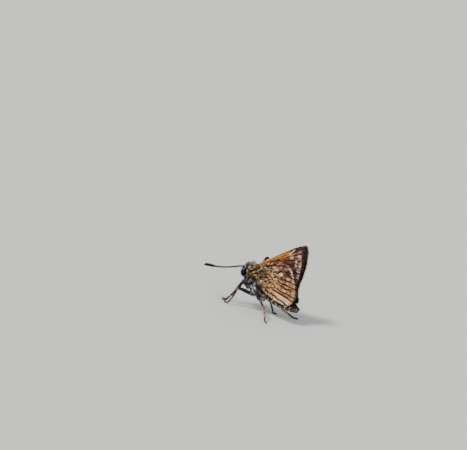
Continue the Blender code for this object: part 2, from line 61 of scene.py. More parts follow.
# The body's place and pitch, as in the solids, and its axes: along, aside and above.
FACE = np.array([-4.72, -1.85, 8.31])
PITCH = math.radians(15.8)
AXES = np.array([
    [math.cos(PITCH), 0, -math.sin(PITCH)],
    [0, 1, 0],
    [math.sin(PITCH), 0, math.cos(PITCH)],
])
SIDES = {"left": -1, "right": 1}

# The camera's place and its axes: right, up and back.
CAMERA_PLACE = (205.75, -385.64, 123.15)
CAMERA_AXES = ((0.82995, 0.51991, 0.20219), (-0.2927, 0.09731, 0.95124), (0.47488, -0.84866, 0.23294))
CAMERA_LENS = 149.2
CAMERA_CLIP = (0.01, 50)
SENSOR_WIDTH = 36.0

# The studio: the floor's colour, roughness and half width in metres, the light all round, and
# the lamps with their direction, strength and angle.
FLOOR_COLOUR = (0.62, 0.63, 0.62, 1)
FLOOR_ROUGHNESS = 0.9
FLOOR_HALF = 6
STUDIO_COLOUR = (0.97, 0.98, 1.0, 1)
STUDIO_STRENGTH = 0.66
LAMP_COLOUR = (1.0, 0.97, 0.92)
LAMPS = {"key": ((-0.35, -0.75, 1.1), 3.0, 14), "fill": ((0.9, -0.6, 0.5), 0.8, 50)}

# A tuft's rings, as how far along it they lie and their share of its width, how deep its root
# sits, and how far its patch of the unwrap reaches from its root's place.
BLADE_RINGS = ((0.0, 0.8), (0.4, 1.0), (0.75, 0.62))
BLADE_SINK = 0.02
PATCH = 0.0015

# The length of the noise's table, and the seeds of the random draws.
NOISE_TABLE = 8192
SEEDS = {"wings": 5, "body": 7, "beard": 17, "palps": 9, "legs": 13}

# How light single tufts are, with the share of each, on the body and on rods, and how much
# darker the skin below them is painted, as painted shade among the hair.
BODY_SHADES = ((0.3, 0.75, 1.0, 1.8), (0.25, 0.3, 0.25, 0.2))
ROD_SHADES = ((0.45, 0.9, 1.1, 1.7), (0.2, 0.35, 0.3, 0.15))
SKIN_PAINTED_SHADE = 0.6


def rgb(text):
    """A colour's linear values from its six hexadecimal digits."""
    parts = np.array([int(text[k:k + 2], 16) / 255 for k in (0, 2, 4)])
    return np.where(parts < 0.04045, parts / 12.92, ((parts + 0.055) / 1.055) ** 2.4)


def columns(*parts):
    """Numbers and lists side by side, as the columns of a table."""
    return np.stack(np.broadcast_arrays(*parts), axis=-1).astype(float)


def smooth(edge0, edge1, x):
    """0 at edge0, 1 at edge1 and beyond, and a soft step between them."""
    x = np.clip((np.asarray(x, float) - edge0) / (edge1 - edge0), 0, 1)
    return x * x * (3 - 2 * x)


def span(x, a, b, c, d):
    """1 from b to c, 0 outside a to d, and soft steps between them."""
    return smooth(a, b, x) * smooth(d, c, x)


def laid(colour, *layers):
    """A colour or a list of them under layers of (colour, mask), each laid on where its mask is 1."""
    for tone, mask in layers:
        mask = np.clip(np.asarray(mask, float), 0, 1)[:, None]
        colour = colour * (1 - mask) + rgb(tone) * mask
    return colour


def noise(points, size, seed):
    """Smooth noise from -1 to 1, with features of one size or one for each axis."""
    table = np.random.default_rng(seed).uniform(-1, 1, NOISE_TABLE)
    points = np.asarray(points, float) / np.asarray(size, float)
    cell = np.floor(points).astype(np.int64)
    part = points - cell
    part = part * part * (3 - 2 * part)
    steps = np.array([73856093, 19349663, 83492791])[:points.shape[1]]
    total = np.zeros(len(points))
    for corner in itertools.product((0, 1), repeat=points.shape[1]):
        weight = np.prod(np.where(np.array(corner) == 1, part, 1 - part), axis=1)
        total += weight * table[((cell + corner) * steps).sum(1) % NOISE_TABLE]
    return total


def turned(vectors):
    """World directions from directions in body coordinates."""
    return np.asarray(vectors, float) @ AXES


def world(points):
    """World millimetres from body coordinates."""
    return FACE + turned(points)


def body(points):
    """Body coordinates from world millimetres."""
    return (np.asarray(points, float) - FACE) @ AXES.T


def beside(point):
    """A point whose middle value counts from the body's midplane, in the world."""
    return np.array([point[0], FACE[1] + point[1], point[2]])


def unit(vectors):
    vectors = np.asarray(vectors, float)
    return vectors / np.maximum(np.linalg.norm(vectors, axis=-1, keepdims=True), 1e-9)


def spline(points, steps, closed=False):
    """A Catmull-Rom curve through the points, with steps pieces between each two of them."""
    points = np.array(points, float)
    n = len(points)
    out = []
    for i in range(n if closed else n - 1):
        a, b, c, d = (points[(i + k) % n if closed else min(max(i + k, 0), n - 1)] for k in (-1, 0, 1, 2))
        for t in np.arange(steps) / steps:
            out.append(0.5 * (2 * b + (c - a) * t + (2 * a - 5 * b + 4 * c - d) * t ** 2
                              + (3 * b - a - 3 * c + d) * t ** 3))
    return np.array(out if closed else out + [points[-1]])


def run_of(line):
    """How far along a line each of its points lies."""
    return np.concatenate([[0], np.cumsum(np.linalg.norm(np.diff(line, axis=0), axis=1))])


def places(at, runs, line):
    """The places on a line at some of its runs."""
    return columns(*(np.interp(at, runs, part) for part in line.T))


def spaced(line, step):
    """Points at even distances along a line."""
    line = np.array(line, float)
    runs = run_of(line)
    return places(np.linspace(0, runs[-1], max(2, round(runs[-1] / step) + 1)), runs, line)


def distances(points, lines):
    """The distance from each point to the nearest of some open lines."""
    best = np.full(len(points), 1e9)
    for line in lines:
        for a, b in zip(line[:-1], line[1:]):
            run = b - a
            t = np.clip((points - a) @ run / (run @ run), 0, 1)
            best = np.minimum(best, np.linalg.norm(points - a - t[:, None] * run, axis=1))
    return best


def inside(points, ring):
    """Which points lie inside a closed line."""
    x, y = points.T
    hit = np.zeros(len(points), bool)
    for (ax, ay), (bx, by) in zip(ring, np.roll(ring, -1, axis=0)):
        if ay != by:
            hit ^= ((ay > y) != (by > y)) & (x < ax + (y - ay) / (by - ay) * (bx - ax))
    return hit


def triangles_of(faces):
    return np.array([(f[0], f[k], f[k + 1]) for f in faces for k in range(1, len(f) - 1)])


def outwards(verts, faces):
    """A closed form's faces, all turned so that they face out."""
    a, b, c = (verts[corner] for corner in triangles_of(faces).T)
    return [face[::-1] for face in faces] if (a * np.cross(b, c)).sum() < 0 else faces


def shown(name, data):
    """A new object in the scene."""
    made = bpy.data.objects.new(name, data)
    bpy.context.scene.collection.objects.link(made)
    return made


class Shape:
    """Closed forms gathered into one piece, with a colour and a place in its unwrap for each point."""

    def __init__(self):
        self.verts, self.faces, self.tints, self.uvs, self.count = [], [], [], [], 0

    def add(self, verts, faces, tints, uvs=None):
        verts = np.asarray(verts, float)
        self.faces += [tuple(k + self.count for k in face) for face in outwards(verts, faces)]
        self.verts.append(verts)
        self.tints.append(np.broadcast_to(tints, (len(verts), 3)))
        self.uvs.append(np.full((len(verts), 2), 0.5) if uvs is None else uvs)
        self.count += len(verts)

    def piece(self, name, material, slot, replaces=(), unwrap=False):
        """Makes the object, rides it on the only body and gives it its material."""
        mesh = bpy.data.meshes.new(name)
        points = np.concatenate(self.verts) * MM
        points[:, 2] = np.maximum(points[:, 2], 0)
        mesh.from_pydata(points.tolist(), [], self.faces)
        tints = np.clip(np.concatenate(self.tints), 0, 1)
        tints = np.concatenate([tints, np.ones((len(tints), 1))], axis=1)
        attribute = mesh.color_attributes.new("tint", "FLOAT_COLOR", "POINT")
        attribute.data.foreach_set("color", tints.astype(np.float32).ravel())
        if unwrap:
            index = np.zeros(len(mesh.loops), np.int32)
            mesh.loops.foreach_get("vertex_index", index)
            uvs = np.concatenate(self.uvs)[index]
            mesh.uv_layers.new(name="OFBake").data.foreach_set("uv", uvs.astype(np.float32).ravel())
        mesh.shade_smooth()
        mesh.materials.append(material)
        made = shown(name, mesh)
        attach(made, "root")
        if replaces:
            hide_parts(*replaces)


def scaled(name, roughness, speck=0.3, speck_size=0.05, bump=0.4, scale_size=0.0, sheen=0.0, coat=0.0,
           shine=0.25):
    """A material that takes the piece's painted tint and breaks it up into specks, and into small
    overlapping scales where a size for them is given."""
    made = bpy.data.materials.new(name)
    made.use_nodes = True
    tree = made.node_tree

    def fill(target, settings):
        for key, value in settings.items():
            if isinstance(value, bpy.types.NodeSocket):
                tree.links.new(value, target.inputs[key])
            else:
                target.inputs[key].default_value = value

    def node(kind, settings=()):
        new = tree.nodes.new("ShaderNode" + kind)
        fill(new, dict(settings))
        return new.outputs

    def varied(colour, value, low, high):
        """The colour made darker where the value is low and lighter where it is high."""
        shade = node("MapRange", {"Value": value, "From Min": low, "From Max": high,
                                  "To Min": 1 - speck, "To Max": 1 + speck})
        return node("HueSaturation", {"Color": colour, "Value": shade["Result"]})["Color"]

    tint = tree.nodes.new("ShaderNodeAttribute")
    tint.attribute_name = "tint"
    place = node("TexCoord")["Object"]
    height = node("TexNoise", {"Vector": place, "Scale": 1 / (speck_size * MM), "Detail": 2.0})["Fac"]
    colour = varied(tint.outputs["Color"], height, 0.3, 0.7)
    if scale_size:
        stretch = node("Mapping", {"Vector": place, "Rotation": (0, -0.5, 0), "Scale": (0.55, 1, 1)})
        cells = node("TexVoronoi", {"Vector": stretch["Vector"], "Scale": 1 / (scale_size * MM)})
        each = node("SeparateColor", {"Color": cells["Color"]})
        colour = varied(colour, each["Red"], 0.0, 1.0)
        height = cells["Distance"]
    relief = node("Bump", {"Strength": bump, "Distance": 0.03 * MM, "Height": height})
    fill(tree.nodes["Principled BSDF"], {
        "Base Color": colour, "Normal": relief["Normal"], "Roughness": roughness, "Sheen Weight": sheen,
        "Coat Weight": coat, "Coat Roughness": 0.12, "Specular IOR Level": shine,
    })
    return made


MATERIALS = {
    "forewing": scaled("forewing_scales", 0.65, 0.3, 0.16, 0.6, 0.075, shine=0.15),
    "hindwing": scaled("hindwing_scales", 0.65, 0.3, 0.16, 0.6, 0.075, shine=0.15),
    "fringe": scaled("fringe_scales", 0.7, 0.15, 0.05, 0.2, shine=0.15),
    "fur": scaled("hair", 0.5, 0.18, 0.08, 0.15, sheen=0.05),
    "skin": scaled("skin", 0.85, 0.35, 0.06, 0.6),
    "leg": scaled("leg_scales", 0.6, 0.3, 0.06, 0.5, 0.07),
    "feeler": scaled("feeler", 0.6, 0.35, 0.06, 0.6, 0.09, shine=0.12),
    "eye": scaled("eye", 0.35, 0.2, 0.08, 0.5, 0.03, coat=0.2, shine=0.05),
}


def grid_faces(rows, sides, first=0):
    """The faces of a tube of rings, with a point to close each end, each from its first corner on."""
    turn = [(s, (s + 1) % sides) for s in range(sides)]
    faces = [(r * sides + s, (r + 1) * sides + s, (r + 1) * sides + t, r * sides + t)
             for r in range(rows - 1) for s, t in turn]
    last = rows * sides
    faces += [(t, last, s) for s, t in turn]
    faces += [(last - sides + s, last + 1, last - sides + t) for s, t in turn]
    return [face[first:] + face[:first] for face in faces]


def sweep(path, radii, sides=12):
    """A closed tube: its points, faces, and how far along and round each point lies."""
    path = np.asarray(path, float)
    radii = np.broadcast_to(radii, len(path))
    heading = unit(np.gradient(path, axis=0))
    up = np.array([0.0, 0.0, 1.0]) if abs(heading[0][2]) < 0.9 else np.array([1.0, 0.0, 0.0])
    turns = 2 * math.pi * np.arange(sides) / sides
    verts = []
    for point, ahead, radius in zip(path, heading, radii):
        up = unit(up - ahead * (up @ ahead))
        side = np.cross(ahead, up)
        verts.append(point + radius * (np.outer(np.cos(turns), up) + np.outer(np.sin(turns), side)))
    verts = np.concatenate(verts + [path[:1], path[-1:]])
    runs = np.append(np.repeat(np.linspace(0, 1, len(path)), sides), [0, 1])
    return verts, grid_faces(len(path), sides, -1), runs, np.append(np.tile(turns, len(path)), [0, 0])


def tufts(shape, roots, normals, lies, lengths, widths, lifts, tints, uvs, tips=None, curl=0.6):
    """Adds one flat, tapering and bent blade at each root. Lifts are in degrees from the lie."""
    count = len(roots)
    lengths, widths, lifts = (np.broadcast_to(v, count)[:, None] for v in (lengths, widths, lifts))
    normals = unit(normals)
    lies = unit(lies - normals * (lies * normals).sum(1, keepdims=True))
    sides = np.cross(lies, normals)
    rise, ahead = np.sin(np.radians(lifts)), np.cos(np.radians(lifts))
    tips = tints if tips is None else tips
    rings, colours, unwrapped = [], [], []
    for t, wide in BLADE_RINGS:
        middle = roots + lengths * (lies * ahead * t + normals * (rise * (t - curl * t * t) - BLADE_SINK))
        for turn, high in ((-1.0, 0.0), (0.0, 0.5), (1.0, 0.0)):
            rings.append(middle + widths * wide * (sides * turn * 0.5 + normals * high))
            colours.append(tints * (1 - t) + tips * t)
            unwrapped.append(uvs + PATCH * np.array([turn, t * 2 - 1]))
    rings.append(roots + lengths * (lies * ahead + normals * rise * (1 - curl)))
    colours.append(tips)
    unwrapped.append(uvs + np.array([0.0, PATCH]))
    faces = [(0, 1, 2), (6, 9, 7), (7, 9, 8), (8, 9, 6)]
    for r in (0, 3):
        faces += [(r, r + 3, r + 4, r + 1), (r + 1, r + 4, r + 5, r + 2), (r + 2, r + 5, r + 3, r)]
    first = np.arange(count) * len(rings) + shape.count
    for face in faces:
        shape.faces += [tuple(row) for row in (first[:, None] + np.array(face)).tolist()]
    for kept, new in ((shape.verts, rings), (shape.tints, colours), (shape.uvs, unwrapped)):
        kept.append(np.stack(new, axis=1).reshape(-1, new[0].shape[1]))
    shape.count += count * len(rings)


# The wings: hinges, and how far their middles lie from the midplane, as in the solids.
FOREWING_HINGE = (3.3, 2.0)
FOREWING_TOP_SPREAD = 1.2
FOREWING_LOW_SPREAD = 0.5
FOREWING_ROOT_SPREAD = 1.6
HINDWING_HINGE = (4.8, 1.9)
HINDWING_SPREAD = 2.15
HINDWING_LOW_SPREAD = 0.95
HINDWING_OFF_FOREWING = 0.97
HINDWING_TUCK = {"left": 0.0, "right": 0.95}

# Outlines out to the fringe's tips, and veins, as (along, above). The fringe grows on the part
# of an outline between its two named points.
FOREWING_OUTLINE = [
    (3.1, 2.6), (7.1, 8.5), (10.75, 13.3), (11.75, 13.95), (12.6, 13.3), (13.15, 12.15),
    (13.95, 10.35), (14.65, 7.6), (14.9, 5.6), (14.4, 4.7), (10.4, 2.9), (6.6, 1.5), (4.0, 0.9),
]
FOREWING_FRINGE = (2, 10)
HINDWING_OUTLINE = [
    (4.9, 3.2), (6.1, 5.7), (8.0, 7.45), (10.1, 8.85), (11.3, 8.95), (12.6, 8.5),
    (13.8, 7.35), (14.65, 6.3), (15.45, 4.8), (16.0, 3.3), (16.15, 1.9), (15.6, 0.35),
    (14.4, 0.0), (12.2, -0.25), (9.6, -0.2), (7.8, 0.3), (5.9, 1.1),
]
HINDWING_FRINGE = (3, 12)
HINDWING_CORNER = (10, 15)
FOREWING_VEINS = [
    [(3.4, 2.6), (6.4, 7.0), (9.2, 10.75)], [(3.5, 2.3), (6.3, 6.0), (8.9, 9.3)],
    [(3.7, 2.0), (7.0, 4.6), (10.3, 7.3)], [(8.9, 9.3), (9.7, 8.4), (10.3, 7.3)],
    [(7.3, 7.3), (8.9, 9.7), (10.1, 11.9)], [(8.1, 8.3), (9.7, 10.6), (10.9, 12.8)],
    [(8.9, 9.3), (10.3, 11.2), (11.6, 13.2)], [(8.9, 9.3), (10.7, 10.9), (12.4, 12.5)],
    [(9.4, 8.8), (11.2, 9.9), (13.1, 10.9)], [(9.7, 8.4), (11.6, 8.9), (13.6, 9.3)],
    [(10.3, 7.3), (12.0, 7.6), (13.9, 7.9)], [(9.4, 6.5), (11.7, 6.5), (14.2, 6.6)],
    [(7.9, 5.3), (11.0, 5.1), (14.3, 5.5)],
]
HINDWING_VEINS = [
    [(5.0, 2.4), (7.6, 6.3), (11.6, 8.4)], [(5.1, 2.2), (7.8, 4.9), (10.6, 5.9)],
    [(5.2, 1.9), (7.9, 3.0), (10.8, 3.9)], [(10.6, 5.9), (10.9, 4.9), (10.8, 3.9)],
    [(9.0, 5.5), (11.2, 6.9), (13.1, 7.6)], [(10.6, 5.9), (12.4, 6.4), (14.0, 6.5)],
    [(10.9, 4.9), (12.9, 5.3), (14.8, 5.5)], [(10.8, 3.9), (13.0, 4.2), (15.3, 4.5)],
    [(10.0, 3.6), (12.8, 3.3), (15.6, 3.5)], [(8.2, 3.1), (11.8, 2.3), (15.7, 2.5)],
    [(5.3, 1.6), (10.4, 1.3), (15.6, 1.5)], [(5.5, 1.4), (9.8, 0.45), (14.9, 0.65)],
]
# The veins that run out to the margin in order, with a fold of the membrane between each two.
FOREWING_FANNED = [7, 8, 9, 10, 11, 12]
HINDWING_FANNED = [0, 4, 5, 6, 7, 8, 9, 10, 11]

# Pale patches: middle along and above, half length, half width, turn in degrees, strength.
FOREWING_SPOTS = [
    (10.2, 11.5, 1.05, 0.1, 71, 1.0), (10.6, 11.15, 0.75, 0.08, 64, 0.9),
    (10.75, 10.35, 0.5, 0.24, 52, 0.9), (12.15, 10.2, 0.36, 0.22, -40, 0.9),
    (12.45, 9.25, 0.36, 0.24, -30, 0.75),
]
UPPER_SPOTS = FOREWING_SPOTS + [
    (9.2, 8.2, 0.5, 0.3, 50, 1.0), (11.3, 8.2, 0.5, 0.35, 20, 1.0), (11.0, 6.9, 0.6, 0.4, 10, 1.0),
    (9.9, 5.8, 0.5, 0.3, 10, 1.0),
]
HINDWING_SPOTS = [
    (10.65, 5.75, 0.52, 0.42, 52, 1.0), (12.6, 5.75, 0.48, 0.3, 22, 0.95),
    (12.9, 4.78, 0.5, 0.25, 14, 0.85), (12.97, 3.75, 0.5, 0.27, 8, 0.85),
    (12.87, 2.68, 0.55, 0.32, 5, 0.95), (9.95, 3.2, 0.5, 0.16, 20, 0.4),
    (10.9, 4.45, 0.25, 0.14, 20, 0.5), (14.9, 3.4, 0.5, 0.26, 4, 0.6), (8.6, 3.5, 0.5, 0.15, 35, 0.35),
]
HINDWING_LILAC_SPOTS = [
    (7.45, 6.75, 0.36, 0.16, 62, 0.8), (9.1, 6.1, 0.42, 0.2, 45, 0.8), (12.8, 7.35, 0.22, 0.26, 10, 0.9),
    (13.9, 6.1, 0.2, 0.16, 15, 0.6), (11.0, 7.5, 0.45, 0.13, 20, 0.5), (6.6, 4.9, 0.4, 0.12, 50, 0.4),
]

# The membrane: its triangles' size, the steps between two points of an outline and of a vein,
# where along the veins the folds begin, its thickness, what veins and costa add to each side,
# how deep the folds are, and how far its scales' roots stand off it.
WING_STEP = 0.085
OUTLINE_STEPS = 16
VEIN_STEPS = 10
FOLD_FROM = 8
MEMBRANE = 0.07
VEIN_RAISED = 0.05
COSTA_RAISED = 0.05
FOLD_DEEP = 0.05
SCALES_OFF = 0.015
# The fringe: its scales' length, width and distance, how wide a rim the markings leave to it,
# and how far inside the outline the membrane ends: all round, and further where the fringe grows.
FRINGE_LONG = 0.36
FRINGE_WIDE = 0.085
FRINGE_STEP = 0.05
FRINGE_SHOWN = 0.26
RIM_IN = 0.04
FRINGE_RIM_IN = 0.24
# Where the dashes along the margin begin and end, in from the fringe.
DASH = (0.12, 1.25)
# The unwraps. The wings': the first corner and the width, in millimetres. The others': where
# they begin, the share that a whole form takes, the body's length in millimetres, and a leg
# part's share and step.
UNWRAP_AT = (2, -1)
UNWRAP_WIDE = 16
UNWRAP_FIRST = 0.02
UNWRAP_SHARE = 0.96
UNWRAP_BODY = 19
UNWRAP_PART = 0.22
UNWRAP_PART_STEP = 0.245


def forewing_spread(along, above):
    """How far the forewing's middle lies from the midplane."""
    x, y = along - FOREWING_HINGE[0], above - FOREWING_HINGE[1]
    far = smooth(math.radians(12), math.radians(50), np.arctan2(y, x))
    spread = FOREWING_LOW_SPREAD + (FOREWING_TOP_SPREAD - FOREWING_LOW_SPREAD) * far
    return spread + (FOREWING_ROOT_SPREAD - spread) * np.exp(-np.hypot(x, y) / 3)


def hindwing_spread(along, above):
    """How far the hindwing's middle lies from the midplane, with its anal field pleated."""
    x, y = along - HINDWING_HINGE[0], above - HINDWING_HINGE[1]
    reach, angle = np.hypot(x, y), np.degrees(np.arctan2(y, x))
    spread = np.minimum(HINDWING_SPREAD, forewing_spread(along, above) + HINDWING_OFF_FOREWING)
    spread = spread + (HINDWING_LOW_SPREAD - spread) * (1 - smooth(9, 16, angle))
    drawn_in = smooth(-9, 3, angle) * smooth(5.5, 10, reach)
    pleat = 0.14 * np.sin(np.radians(angle * 40)) * smooth(4, 8, reach) * (1 - smooth(1, 5, angle))
    return HINDWING_SPREAD + (spread - HINDWING_SPREAD) * drawn_in + np.maximum(pleat, -0.02)


def outline_line(outline, part=None):
    """An outline as a fine line, whole or only between two of its named points."""
    ring = spline(outline, OUTLINE_STEPS, closed=True)
    if part:
        return ring[part[0] * OUTLINE_STEPS:part[1] * OUTLINE_STEPS + 1]
    return np.vstack([ring, ring[:1]])


def patches(points, spots):
    """1 inside soft-edged rounded patches and 0 outside them."""
    best = np.zeros(len(points))
    ragged = points + 0.09 * columns(noise(points, 0.22, 3), noise(points, 0.22, 4))
    for along, above, half_long, half_wide, turn, strength in spots:
        c, s = math.cos(math.radians(turn)), math.sin(math.radians(turn))
        offset = ragged - (along, above)
        u, v = offset @ (c, s) / half_long, offset @ (-s, c) / half_wide
        out = (np.abs(u) ** 3 + np.abs(v) ** 3) ** (1 / 3)
        best = np.maximum(best, strength * smooth(1.2, 0.65, out))
    return best


def dashes(points, vein, fold, margin):
    """Pale patches between the veins along the margin, faintly parted at the folds."""
    start = DASH[1] + 0.4 * noise(points, 0.7, 8)
    band = smooth(DASH[0], DASH[0] + 0.12, margin) * smooth(start, start - 0.6, margin)
    parted = 0.55 + 0.45 * smooth(0.04, 0.14, fold)
    return (band * smooth(0.1, 0.24, vein) * parted * (0.6 + 0.7 * noise(points, 0.42, 9))).clip(0, 1)


def grained(points, hinge, seed, long=0.9, wide=0.16):
    """Noise in streaks that run out from the hinge, as rows of scales and veinlets do."""
    x, y = (points - hinge).T
    return noise(columns(np.hypot(x, y), np.arctan2(y, x) * 7), (long, wide), seed)


def forewing_under(points, vein, fold, margin, costa):
    """Tawny along the costa, brown and lilac towards the margin, with cream streaks."""
    along, above = points.T
    streaks = grained(points, FOREWING_HINGE, 11, 0.7, 0.14)
    blotches = noise(points, 0.35, 14)
    outer = smooth(9.5, 11.5, along * 0.75 + above * 0.25)
    root = smooth(4.2, 2, np.hypot(*(points - FOREWING_HINGE).T) + 0.8 * streaks)
    band = smooth(2.2, 1, costa + 0.25 * blotches) * smooth(11.9, 10.6, above)
    lines = noise(columns(costa, above), (0.13, 1.1), 15) + 0.4 * noise(points, 0.2, 16)
    edge = dashes(points, vein, fold, margin) * (0.25 + 0.75 * smooth(12.4, 11.4, above))
    return laid(
        rgb("7d5236"),
        ("80594e", 0.7 * outer),
        ("3e2a26", 0.75 * smooth(0.05, 0.5, -streaks - 0.3 * blotches) * outer),
        ("c09a94", 0.5 * smooth(0.2, 0.6, streaks) * outer),
        ("b26b2f", band),
        ("ea983c", 0.8 * band * smooth(0.9, 0.45, costa)),
        ("f0bd70", 0.75 * band * smooth(0.15, 0.5, lines) * smooth(1.4, 0.7, costa)),
        ("7d5030", 0.6 * band * smooth(0.8, 1.6, costa)),
        ("3d2110", 0.85 * band * smooth(-0.1, -0.4, lines) * smooth(0.1, 0.5, costa)),
        ("5d4a2c", 0.85 * root),
        ("241912", 0.8 * root * smooth(0, 0.4, blotches)),
        ("4a3222", 0.6 * smooth(6.5, 2.5, above - 0.25 * along) * (1 - band)),
        ("1f100c", 0.92 * smooth(0.24, 0.1, vein) * (1 - 0.75 * band)),
        ("3a241c", 0.6 * smooth(0.14, 0.04, fold) * outer),
        ("cba196", 0.9 * edge),
        ("fbe2d6", 0.95 * edge * smooth(-0.15, 0.2, noise(points, 0.3, 17))),
        ("f4cba4", 0.95 * patches(points, FOREWING_SPOTS)),
        ("fff0dc", 0.7 * patches(points, FOREWING_SPOTS[:1])),
        ("24140f", 0.92 * smooth(0.32, 0.16, costa) * smooth(6.5, 9.5, above + 0.8 * blotches)),
        ("2a1712", 0.6 * smooth(12.4, 13.4, above) * smooth(0.6, 0.3, margin)),
        ("241511", 0.95 * smooth(0.18, 0.08, margin)),
    )


def hindwing_under(points, vein, fold, margin, costa):
    """Ochre brown with dark veins, cream spots, pale dashes and a striped anal field."""
    along, above = points.T
    reach = np.hypot(*(points - HINDWING_HINGE).T)
    streaks = grained(points, HINDWING_HINGE, 21)
    fine = grained(points, HINDWING_HINGE, 22, 0.35, 0.09)
    blotches, ladder = noise(points, 0.42, 25), noise(points, 0.27, 30)
    mottle = 0.5 * grained(points, HINDWING_HINGE, 23, 0.4, 0.2) + 0.8 * noise(points, 0.25, 24)
    near = np.maximum(smooth(7.5, 5, reach), smooth(1.3, 0.6, above) * smooth(13, 11, along))
    warm = smooth(6.8, 2, above - 0.12 * (along - 10))
    base = smooth(5.6, 2.8, reach + 0.9 * blotches)
    width = 0.12 + 0.04 * smooth(6, 9, reach) + 0.05 * noise(points, 0.8, 27)
    edge = dashes(points, vein, fold, margin) * smooth(10.5, 12, along)
    spots = patches(points, HINDWING_SPOTS)
    around = patches(points, [(a, b, l + 0.25, w + 0.2, t, k) for a, b, l, w, t, k in HINDWING_SPOTS])
    field = smooth(9.5, 12, along) * smooth(2.1, 1.9, above)
    lines = [smooth(0.2, 0.1, np.abs(above - middle + 0.04 * noise(points, 0.6, 28)))
             for middle in (0.53, 1.62)]
    return laid(
        rgb("8e5c3a"),
        ("ffb97e", 0.92 * warm),
        ("ffc994", 0.7 * smooth(0, 0.6, streaks + 0.4 * fine) * (0.35 + 0.65 * warm)),
        ("c09484", 0.8 * smooth(0.05, 0.45, streaks + 0.5 * blotches) * smooth(4, 6.5, above)),
        ("3a2216", 0.85 * smooth(0.15, 0.6, -streaks - 0.5 * fine) * (1 - 0.45 * warm)),
        ("5f3c24", 0.45 * smooth(0.2, 0.5, ladder) * (1 - 0.4 * smooth(12, 14, along))),
        ("ffd39c", 0.6 * smooth(-0.2, -0.45, ladder) * warm),
        ("44291c", 0.7 * smooth(0.2, 0.55, blotches) * smooth(3.2, 5, above) * smooth(13.5, 12, along)),
        ("74583e", 0.8 * base),
        ("21160f", 0.9 * base * smooth(0, 0.3, blotches + 0.6 * fine)),
        ("b98d52", 0.6 * base * smooth(0.1, 0.5, streaks)),
        ("28160e", 0.95 * smooth(width + 0.13, width, vein)),
        ("4d3020", 0.8 * smooth(0.18, 0.06, fold) * smooth(9, 11, along)),
        ("1f120a", (0.2 + 0.65 * near) * smooth(0.1, 0.3, mottle)),
        ("f8cda4", (0.12 + 0.58 * near) * smooth(-0.2, -0.42, mottle)),
        ("f6c49c", 0.8 * edge),
        ("f8dfd6", 0.85 * edge * smooth(3.8, 5.2, above) * smooth(-0.05, 0.3, noise(points, 0.4, 31))),
        ("3f2618", 0.75 * (around - spots).clip(0, 1)),
        ("f8cba0", spots),
        ("dccad0", patches(points, HINDWING_LILAC_SPOTS)),
        ("ffd3a4", 0.88 * field * smooth(0.5, 0.35, above)),
        ("ffc48c", 0.95 * field * span(above, 0.98, 1.08, 1.38, 1.52)),
        ("fbf4ff", 0.95 * span(above, 0.75, 0.8, 0.87, 0.94) * smooth(11.3, 12.2, along)),
        ("1f150f", 0.9 * smooth(14.4, 11.8, along) * smooth(0.9, 0.4, above)
         * smooth(0, 0.25, noise(points, 0.26, 29))),
        *(("2a180f", 0.95 * smooth(8.5, 10.5, along) * line) for line in lines),
        ("1c0f0c", 0.8 * smooth(0.2, 0.08, margin) * smooth(1, 2, above)),
    )


def wing_over(points, vein, margin, spots, hinge):
    """The upper side, which faces inwards: dark brown with cream spots and olive hair near its root."""
    streaks = grained(points, hinge, 31)
    reach = np.hypot(*(points - hinge).T)
    return laid(
        rgb("2c1d17"),
        ("54402f", 0.6 * smooth(0, 0.6, streaks)),
        ("83713f", 0.65 * smooth(6.5, 2.5, reach) * smooth(-0.2, 0.3, noise(points, 0.3, 32))),
        ("8c7368", 0.75 * span(margin, 0.35, 0.6, 0.9, 1.4) * smooth(-0.1, 0.4, noise(points, 0.5, 33))),
        ("120b0a", 0.9 * smooth(0.18, 0.06, vein)),
        ("140c0b", 0.8 * smooth(0.35, 0.1, margin)),
        ("dcbc8a", 0.9 * patches(points, spots)),
    )


WINGS = {
    "forewing": (FOREWING_OUTLINE, FOREWING_FRINGE, FOREWING_VEINS, FOREWING_FANNED, FOREWING_HINGE,
                 forewing_spread, forewing_under, UPPER_SPOTS, "5d463f"),
    "hindwing": (HINDWING_OUTLINE, HINDWING_FRINGE, HINDWING_VEINS, HINDWING_FANNED, HINDWING_HINGE,
                 hindwing_spread, hindwing_under, HINDWING_SPOTS[:5], "4a342a"),
}
# A wing's scales and its root's hair: how many, how far from the hinge, length, width and lift.
SCALES = (5500, 40.0, 0.2, 0.1, 5)
ROOT_HAIR = (1700, 3.0, 0.62, 0.055, 9)
# The fringe's rows, as shares of its length. The last is the darkest.
FRINGE_ROWS = (1.0, 0.8, 0.6)


def upright(plan, aside=0.0):
    """Body coordinates from places or directions in a wing's plan."""
    return columns(plan[:, 0], aside, plan[:, 1])


def wing_uvs(points):
    """A wing's unwrap, which is its plan."""
    return (points - np.array(UNWRAP_AT)) / UNWRAP_WIDE


